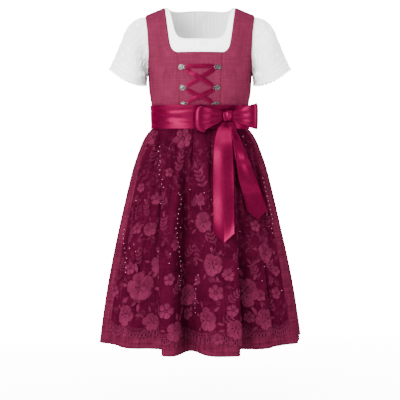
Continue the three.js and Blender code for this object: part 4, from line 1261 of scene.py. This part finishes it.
def tail_surface(table, folds, tilt, ridge):
    """A hanging ribbon end. `tilt` leans it back to the right, and `ridge` folds its left edge."""
    def at(run, across):
        inside = np.clip(run, 0, 1)
        x0, z0, half, off = (curve(table, column, inside) for column in (1, 2, 3, 4))
        level = np.minimum(z0, SASH_BOTTOM - 14)
        near = np.min([
            front_of_skirt(x0 + f * half, level) - tilt * f * half for f in (-1, -0.5, 0, 0.5, 1)
        ], axis=0)
        hung = near + tilt * across * half - TAIL_CLEAR - off
        y = lerp(KNOT_Y + 2, hung, smooth(run, 0, 0.16))
        point = TAIL_POINT * smooth(run, 0.86, 1) * (1 - np.abs(across))
        curl = TAIL_CURL * smooth(run, 0.05, 0.4) * (np.cos(np.pi * across) + 0.4 * across)
        for at_run, at_across, long, wide, deep in folds:
            curl = curl + deep * hill(run, at_run, long) * hill(across, at_across, wide)
        crest = lerp(-0.3, -0.85, smooth(run, 0.05, 0.6))
        left, right = smooth(across, -1.25, crest), 1 - smooth(across, crest, crest + 1.3)
        curl = curl + ridge * smooth(run, 0.03, 0.2) * (1 - smooth(run, 0.4, 0.75)) * left * right
        return np.stack([x0 + across * half, y - curl, z0 - point], -1)
    return at


TAIL_FOLDS = {  # run, across, how long, how wide, how far forward
    "left": [(0.26, -0.3, 0.15, 1.3, 3.4), (0.5, 0.4, 0.14, 1.2, -2.4),
             (0.7, -0.4, 0.14, 1.4, 2.4), (0.9, 0.5, 0.1, 1.2, -1.2)],
    "right": [(0.4, 0.6, 0.2, 0.7, -1.2), (0.8, 0.1, 0.2, 1.2, 1.2)],
}
TAIL_CUTS = {"left": 0.245, "right": 0.2}
TAIL_LEANS = {"left": (-0.06, 0.0), "right": (0.17, 6.5)}
for name, table in TAILS.items():
    surface = tail_surface(table, TAIL_FOLDS[name], *TAIL_LEANS[name])
    piece = cloth(
        f"bow_end_{name}",
        lambda run, across, out, s=surface: moved_out(
            s, run, across, RIBBON_THICK + np.asarray(out) + 0 * run, 0.01, 0.1),
        np.linspace(0, 1, 61), np.linspace(-1, 1, 33), RIBBON_THICK, satin_cloth, "satin",
        [f"bow_tail_{name}"],
    )
    declare(piece, (0.042, TAIL_CUTS[name]), held="hung", rests_on=["bow_knot"])


def knot_at(around, along, out):
    """A band of ribbon pulled round the middle of the bow, with folds that run round it."""
    a, b = np.radians(around), along
    swell = 1 - 0.3 * b**4 + 0.08 * np.sin(6.5 * b + 1.6 * np.sin(a))
    x = KNOT_X + KNOT_HALF[0] * 0.94 * b
    y = KNOT_Y + (KNOT_HALF[1] - 0.8 + out) * power(np.cos(a), 0.85) * swell * 0.93
    z = KNOT_Z + (KNOT_HALF[2] + 0.4 + out) * power(np.sin(a), 0.85) * swell * 0.95
    return np.stack([x + 0 * y, y, z + 1.2 * np.sin(2 * b)], -1)


knot = cloth(
    "bow_middle", knot_at, np.linspace(0, 360, 49), np.linspace(-1, 1, 25), 1.0, satin_cloth,
    "satin", ["bow_knot"],
)
declare(
    sashes[0], (0.052, 0.3), held="stretched", rests_on=["bodice_front_middle"],
    with_pieces=[knot],
)

# %% [markdown]
# Lacing: a narrow satin ribbon runs from hook to hook, crossing twice before it goes under
# the sash. Each stretch lies on the bodice, and the upper one is lifted where they cross.

# %% Lacing ribbon
HOOK_ROWS = {"top": (38, -135), "middle": (36, -177), "bottom": (34, -211.5)}
LACE_HALF, LACE_LIFT, LACE_PASS, LACE_THICK, HOOK_REACH = 4.6, 0.6, 1.5, 0.7, 9.5


def on_front(x, level, out):
    turn = np.where(x < 0, -180 + angle_at_x(x, level), -angle_at_x(x, level))
    return on_figure(turn, level, out)


def hook_end(row, side, down=0):
    """Where a stretch ends by a hook, and where it goes on into the hook's ring."""
    x, z = HOOK_ROWS[row]
    ring = (side * (x - 6.5), z - 1.2 * np.sign(down))
    return (side * (x - HOOK_REACH - LACE_HALF), z - down), ring


STRANDS = {
    "lace_bar": (hook_end("top", -1, -2), hook_end("top", 1, -2), 0),
    "lace_upper_over": (hook_end("top", -1, 8), hook_end("middle", 1, -7), LACE_PASS),
    "lace_upper_under": (hook_end("top", 1, 8), hook_end("middle", -1, -7), 0),
    "lace_lower_over": (hook_end("middle", 1, 7), hook_end("bottom", -1, -8), LACE_PASS),
    "lace_lower_under": (hook_end("middle", -1, 7), hook_end("bottom", 1, -8), 0),
}
RING_RUN = 0.17
for name, ((first, first_ring), (last, last_ring), lift) in STRANDS.items():
    line = [(0, *first_ring), (RING_RUN, *first), (1 - RING_RUN, *last), (1, *last_ring)]
    line += [(0.5, (first[0] + last[0]) / 2, (first[1] + last[1]) / 2)]
    line = sorted(line)
    length = sum(math.dist(a[1:], b[1:]) for a, b in zip(line, line[1:]))
    slope = np.array([last[0] - first[0], last[1] - first[1]])
    slope = slope / np.linalg.norm(slope)

    def strand_at(run, across, out, line=line, lift=lift, slope=slope):
        full = smooth(run, -0.03, RING_RUN) * (1 - smooth(run, 1 - RING_RUN, 1.03))
        half = lerp(1.3, LACE_HALF, full)
        x = curve(line, 1, run) - slope[1] * across * half
        z = curve(line, 2, run) + slope[0] * across * half
        hump = lift * (1 - smooth(np.abs(run - 0.5), 0.1, 0.3))
        cup = 0.35 * (1 - across**2) + 0.5 * (1 - full) * np.cos(5 * across)
        cup = cup + 0.15 * np.sin(11 * run + 2 * across)
        return on_front(x, z, BODICE_OUT + LACE_LIFT + 0.85 + hump + cup + out)

    strand = cloth(
        f"{name}_ribbon", strand_at, np.linspace(0, 1, 41), np.linspace(-1, 1, 11), LACE_THICK,
        satin_cloth, "satin", [name],
    )
    declare(strand, (0.01, length * MM), held="stretched", rests_on=["bodice_front_middle"])
print("lacing stretches", len(STRANDS))

# %% [markdown]
# The blouse shows as a gathered band above the bodice, with the inside of its back behind it.
# Its neckline is drawn up on a narrow casing, so fine gathers fall from it.

# %% Blouse
BLOUSE_OUT, BLOUSE_THICK, BLOUSE_HEM = -0.95, 0.7, -158
BLOUSE_FRONT_TOP = [
    (61.4, 0), (64.4, -22), (66, -42), (67.9, -60), (71, -71.5), (76, -77), (83, -78.6),
    (90, -79),
]
BLOUSE_BACK_TOP = [(61.4, 0), (64, -5), (68, -9.5), (74, -12.5), (82, -14), (90, -14.5)]


def turn_from_side(turn):
    return np.where(np.abs(turn) > 90, 180 - np.abs(turn), np.abs(turn))


def blouse_top(away, neckline):
    """The level of the blouse's edge at a turn away from the side: armhole, strap or neck."""
    arm_end, neck_start = ARMHOLE[0][1], neckline[0][0]
    over_arm = armhole_level(np.clip(away, 0, arm_end - 0.001))
    on_neck = curve(neckline, 1, np.clip(away, neck_start, 90))
    return np.where(away < arm_end, over_arm, np.where(away < neck_start, 0, on_neck))


def blouse_at(facing, neckline):
    def at(rise, turn, out):
        away = turn_from_side(turn)
        top = reach_of(blouse_top(away, neckline))
        reach = lerp(reach_of(np.float64(BLOUSE_HEM)), top, rise)
        drawn = smooth(rise, 0.3, 0.9) * smooth(away, 58, 66)
        gathers = -0.45 * drawn * (1 + np.sin(1.9 * turn + 1.3 * np.sin(turn / 4)))
        made = moved_out(figure_point, turn, reach, BLOUSE_OUT + gathers + out, 0.4, 0.004)
        return made if facing > 0 else parted_on_top(made)
    return at


def blouse_turns(facing):
    half = finer(
        [0.12, 4, 9, 14, 18, 21, 23.3, 24.8, 25.8, 26.3, 26.6, 26.85, 27, 38, 50, 61.4], 3)
    half = np.concatenate([half, finer([61.4, 90], 0.55)[1:]])
    return np.concatenate([-180 + half, -half[::-1][1:]]) * facing


blouse = {}
for name, facing, neckline in (("front", 1, BLOUSE_FRONT_TOP), ("back", -1, BLOUSE_BACK_TOP)):
    blouse[name] = cloth(
        f"blouse_{name}_cloth", blouse_at(facing, neckline), np.linspace(0, 1, 40) ** 0.75,
        blouse_turns(facing), BLOUSE_THICK, blouse_cotton, "blouse_cotton", [f"blouse_{name}"],
    )

# %% Sleeves
SLEEVE = [  # run, top x, top z, inner x, inner z, half depth
    (0, 116.9, -21.2, 109.2, -147.3, 43), (0.07, 124, -22.6, 112.3, -147, 45),
    (0.2, 141, -31, 113.5, -149.6, 50), (0.36, 156.4, -48, 113.9, -154, 55),
    (0.55, 169, -77.6, 114, -158, 57), (0.8, 186, -115, 114, -163.5, 55.5),
    (1, 195, -134, 114, -168, 53),
]
SLEEVE_START, SLEEVE_SAG, SLEEVE_THICK = 0.95, 9, 0.7
SLEEVE_SCALLOPS, SLEEVE_SCALLOP = 28, 2.8


def armhole_ring(around):
    level = ARMHOLE_LEVEL * (1 - np.cos(around)) / 2
    turn = armhole_angle(level) * np.where(np.sin(around) >= 0, -1, 1)
    edge = on_figure(turn, level, BLOUSE_OUT)
    middle = np.stack([edge[..., 0] + 1, 0 * level, 0 * level + ARMHOLE_LEVEL / 2], -1)
    inward = middle - edge
    return edge + inward / np.linalg.norm(inward, axis=-1, keepdims=True) * SLEEVE_START


def sleeve_point(run, around):
    run = np.clip(run, 0, 1)
    top_x, top_z, inner_x, inner_z, depth = (curve(SLEEVE, k, run) for k in range(1, 6))
    up = (1 + np.cos(around)) / 2
    hang = SLEEVE_SAG * run**2 * np.sin(around) ** 2
    ring = np.stack(
        [lerp(inner_x, top_x, up), -depth * np.sin(around), lerp(inner_z, top_z, up) - hang], -1)
    start = armhole_ring(around)
    start[..., 0] += lerp(inner_x - SLEEVE[0][3], top_x - SLEEVE[0][1], up)
    start[..., 2] += lerp(inner_z - SLEEVE[0][4], top_z - SLEEVE[0][2], up)
    made = lerp(start, ring, smooth(run, 0, 0.5)[..., None])
    gathered = smooth(run, 0.02, 0.14) * (1 - smooth(run, 0.2, 0.7)) * up
    fine = 1.1 * np.sin(9 * around + 0.6) + 0.7 * np.sin(31 * around + 1.2 * np.sin(3 * around))
    outward = np.stack([0 * around, -np.sin(around), np.cos(around)], -1)
    return made + outward * (gathered * fine)[..., None]


def on_sleeve(side):
    def at(run, around, out):
        run, around, out = spread(run, around, out)
        near_edge = smooth(run, 0.55, 0.8)
        waves = 0.5 * np.sin(2 * np.pi * run * 6 + 1.5 * np.sin(around * 5)) * near_edge
        made = moved_out(sleeve_point, run, around, out + waves - 0.5 * near_edge, 0.01, 0.02)
        made[..., 0] *= side
        return made
    return at


def sleeve_sheet(side):
    bare = on_sleeve(side)

    def at(run, around, out):
        made = bare(run, around, out)
        wave = np.abs(np.cos(around * SLEEVE_SCALLOPS / 2)) - 0.4
        made[..., 2] -= SLEEVE_SCALLOP * smooth(run, 0.93, 1) * wave
        return made
    return at


sleeves = {}
for side, side_name in ((1, "right"), (-1, "left")):
    sleeves[side_name] = cloth(
        f"sleeve_net_{side_name}", sleeve_sheet(side), np.linspace(0, 1, 44),
        np.linspace(-np.pi + 0.002, np.pi - 0.002, 205), SLEEVE_THICK, sleeve_net, "sleeve_lace",
        [f"sleeve_{side_name}"],
    )

# %% [markdown]
# The sleeves are corded lace: a net with a thick thread sewn on it in leaves and waves, and a
# stitched scalloped edge. The cords are modelled flat and laid on the sleeve by its own two
# directions, along the arm and round it.


# %% Lace cords
def lay_on_sleeve(points, run, around, side):
    """Flat points (round, along, height) in millimetres laid on a sleeve about a place."""
    sleeve = on_sleeve(side)
    here = sleeve(run, around, 0.0)
    per_run = np.linalg.norm(sleeve(run + 0.02, around, 0.0) - here) / 0.02
    per_around = np.linalg.norm(sleeve(run, around + 0.03, 0.0) - here) / 0.03
    return sleeve(
        np.clip(run - points[:, 1] / per_run, 0, 1), around + points[:, 0] / per_around,
        points[:, 2] + 0.05,
    )


SLEEVE_CORDS = [(0.975, 1.1), (0.9, 0.8), (0.8, 0.7), (0.72, 0.6)]  # run, radius
LACE_ROWS, LACE_MOTIFS, SLEEVE_PER_RUN = (0.16, 0.32, 0.48, 0.63), 15, 60
for side, side_name in ((1, "right"), (-1, "left")):
    lace = Heap()
    sheet = sleeve_sheet(side)
    for run, radius in SLEEVE_CORDS:
        around = np.linspace(-np.pi + 0.01, np.pi - 0.01, 260)
        wave = 0.012 * np.abs(np.cos(around * SLEEVE_SCALLOPS / 2)) * (1 if run > 0.85 else 2.2)
        lace.add(*half_round(
            lambda off, rise: sheet(run + wave + off / SLEEVE_PER_RUN, around, 0.05 + rise), radius
        ))
    for row, run in enumerate(LACE_ROWS):
        for i in range(LACE_MOTIFS):
            around = -np.pi + 2 * np.pi * (i + 0.5 * (row % 2) + 0.25) / LACE_MOTIFS
            motif = row * LACE_MOTIFS + i
            if (i + row) % 3 == 0:
                shapes = flower(5.2, 5, motif)
            else:
                shapes = sprig(11, 2, 3 if i % 2 else -3, motif)
            lean = rng.uniform(-0.6, 0.6)
            points, faces = merged(shapes)
            lace.add(lay_on_sleeve(turned(points, lean), run, around, side), faces)
    cords = lace.build(f"sleeve_cords_{side_name}", lace_thread, "sleeve_lace")
    declare(
        sleeves[side_name], (0.37, 0.125), area=0.031, held="gathered",
        rests_on=["blouse_front", "blouse_back"], with_pieces=[cords],
    )


# %% Neckline casing, neck bow and label
def edge_roll(name, at, values, radius, sides=6):
    """A narrow rolled casing along an edge given by at(value, out)."""
    rings = []
    for k in range(sides):
        angle = 2 * np.pi * k / sides
        rings.append(at(values, math.cos(angle) * radius, math.sin(angle) * radius))
    points = np.stack(rings, 1)
    n = len(values)
    ids = np.arange(n * sides).reshape(n, sides)
    after = np.roll(ids, -1, axis=1)
    faces = np.stack([ids[:-1], after[:-1], after[1:], ids[1:]], -1).reshape(-1, 4)
    along, across = np.arange(n) * 2 * MM, np.arange(sides) * MM
    uvs = np.stack([np.repeat(along, sides), np.tile(across, n)], -1)
    return new_object(name, points.reshape(-1, 3), faces, blouse_cotton, uvs)


def front_casing(turn, down, out):
    level = blouse_top(turn_from_side(turn), BLOUSE_FRONT_TOP) - 1.4 + down
    return on_figure(turn, level, BLOUSE_OUT - 0.2 + out)


casing = edge_roll("blouse_casing", front_casing, np.linspace(-117.5, -62.5, 140), 1.0)
place_on_body(casing, "blouse_cotton")

NECK_BOW_X, NECK_BOW_LEVEL, NECK_CORD = 8, -87, 0.95
bow_heap = Heap()
for side in (-1, 1):
    angle = np.linspace(-np.pi, np.pi, 21)
    tall = np.sin(angle) * 2.6 * np.cos(angle / 2.4) + 0.4
    loop = np.stack([side * (1 + np.cos(angle)) * 3.2, tall], -1)
    bow_heap.add(*cord_points(loop, NECK_CORD))
    tail = np.stack([side * np.linspace(0.2, 2.8, 8), np.linspace(0, -4.0, 8)], -1)
    bow_heap.add(*cord_points(tail, NECK_CORD))
bow_heap.add(*bead_points(1.3, 1.3))
for points in bow_heap.points:
    x, level, out = points.T + [[NECK_BOW_X], [NECK_BOW_LEVEL], [BLOUSE_OUT + 0.7]]
    points[:] = on_front(x, level, out)
neck_bow = bow_heap.build("neck_bow_cord", lace_thread, "blouse_cotton")
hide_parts("neck_bow")


LABEL_HALF, LABEL_OUT = 7.4, -2.9


def label_at(level, across, out):
    x = across * LABEL_HALF
    turn = np.where(x < 0, 180 - angle_at_x(x, level), angle_at_x(x, level))
    return on_figure(turn, level, LABEL_OUT + 0.15 * np.sin(3 * across) + out)


label_cloth = cloth_material(
    "label_satin", (0.84, 0.84, 0.83), (0.9, 0.9, 0.89), 2600, 0.45, bump=0.15
)
label = cloth(
    "neck_label_cloth", label_at, np.linspace(-32.5, -18.5, 12), np.linspace(-1, 1, 13), 0.5,
    label_cloth, "blouse_cotton", ["neck_label"],
)
declare(label, (0.015, 0.014), held="stretched", rests_on=["blouse_back"])
for name, area, extra in (("front", 0.036, [casing, neck_bow]), ("back", 0.043, [])):
    declare(
        blouse[name], (0.34, 0.165), area=area, held="stretched",
        rests_on=["bodice_front_middle", "bodice_back_left"], with_pieces=extra,
    )

# %% [markdown]
# The lacing hooks are cast filigree rosettes in old silver with a small ring on the inner
# side. One is modelled from primitives and copied to the six places.

# %% Silver and one hook
old_silver = speckled_material(
    "old_silver", 600.0, 4.0, [(0.42, (0.006, 0.005, 0.005)), (0.66, (0.17, 0.155, 0.155))],
    {"Metallic": 1.0, "Roughness": 0.24},
)
HOOK_RADIUS, HOOK_THICK, HOOK_RING_OUT, HOOK_RING, HOOK_WIRE = 5.9, 1.9, 5.6, 3.1, 0.8


def model_hook():
    """A rosette with a raised rim, five bosses, a centre bead and its ring, at the origin."""
    bpy.ops.object.select_all(action="DESELECT")
    bpy.ops.mesh.primitive_cylinder_add(
        vertices=42, radius=HOOK_RADIUS * MM, depth=HOOK_THICK * 0.5 * MM,
        location=(0, 0, -HOOK_THICK * 0.25 * MM),
    )
    plate = bpy.context.object
    bpy.ops.object.mode_set(mode="EDIT")
    bpy.ops.mesh.select_all(action="DESELECT")
    shape = bmesh.from_edit_mesh(plate.data)
    for face in shape.faces:
        face.select = face.normal.z > 0.9
    bmesh.update_edit_mesh(plate.data)
    bpy.ops.mesh.inset(thickness=0.9 * MM)
    bpy.ops.mesh.extrude_region_move(TRANSFORM_OT_translate={"value": (0, 0, -0.5 * MM)})
    bpy.ops.mesh.inset(thickness=1.8 * MM)
    bpy.ops.mesh.extrude_region_move(TRANSFORM_OT_translate={"value": (0, 0, 0.6 * MM)})
    bpy.ops.object.mode_set(mode="OBJECT")
    parts = [plate]
    for i in range(5):
        angle = 2 * math.pi * (i + 0.5) / 5
        bpy.ops.mesh.primitive_uv_sphere_add(
            segments=12, ring_count=7, radius=1.0 * MM,
            location=(math.cos(angle) * 3.7 * MM, math.sin(angle) * 3.7 * MM, 0.2 * MM),
            rotation=(0, 0, angle),
        )
        boss = bpy.context.object
        boss.scale = (1.5, 1.4, 1.0)
        parts.append(boss)
    bpy.ops.mesh.primitive_uv_sphere_add(
        segments=14, ring_count=8, radius=1.3 * MM, location=(0, 0, 0.3 * MM)
    )
    parts.append(bpy.context.object)
    bpy.ops.mesh.primitive_torus_add(
        major_radius=HOOK_RING * MM, minor_radius=HOOK_WIRE * MM, major_segments=28,
        minor_segments=10, location=(HOOK_RING_OUT * MM, 0, -0.2 * MM),
    )
    parts.append(bpy.context.object)
    bpy.ops.object.select_all(action="DESELECT")
    for part in parts:
        part.select_set(True)
    bpy.context.view_layer.objects.active = plate
    bpy.ops.object.join()
    bpy.ops.object.transform_apply(location=True, rotation=True, scale=True)
    bevel = plate.modifiers.new("soft_edges", "BEVEL")
    bevel.width = 0.15 * MM
    bevel.segments = 2
    bevel.limit_method = "ANGLE"
    bpy.ops.object.modifier_apply(modifier=bevel.name)
    bpy.ops.object.shade_smooth_by_angle(angle=math.radians(40))
    plate.data.materials.clear()
    plate.data.materials.append(old_silver)
    print("hook faces", len(plate.data.polygons))
    return plate


pattern_hook = model_hook()

# %% Hooks in their places
for side, side_name in ((1, "right"), (-1, "left")):
    for row, (x, z) in HOOK_ROWS.items():
        outward = BODICE_OUT + 0.35 + HOOK_THICK / 2
        at_x, level = np.float64(side * x), np.float64(z)
        point, further = (on_front(at_x, level, outward + d) for d in (0, 1))
        facing = Vector(further - point).normalized()
        up = facing.cross(Vector((-side, 0, 0))).normalized()
        along = up.cross(facing)
        place = Matrix((along, up, facing)).transposed().to_4x4()
        place.translation = Vector(point) * MM
        hook = pattern_hook.copy()
        hook.data = pattern_hook.data.copy()
        hook.name = f"silver_hook_{row}_{side_name}"
        hook.data.transform(place)
        bpy.context.scene.collection.objects.link(hook)
        place_on_body(hook, "hook_silver", [f"hook_{row}_{side_name}"])
bpy.data.objects.remove(pattern_hook)
print("hooks", 2 * len(HOOK_ROWS))
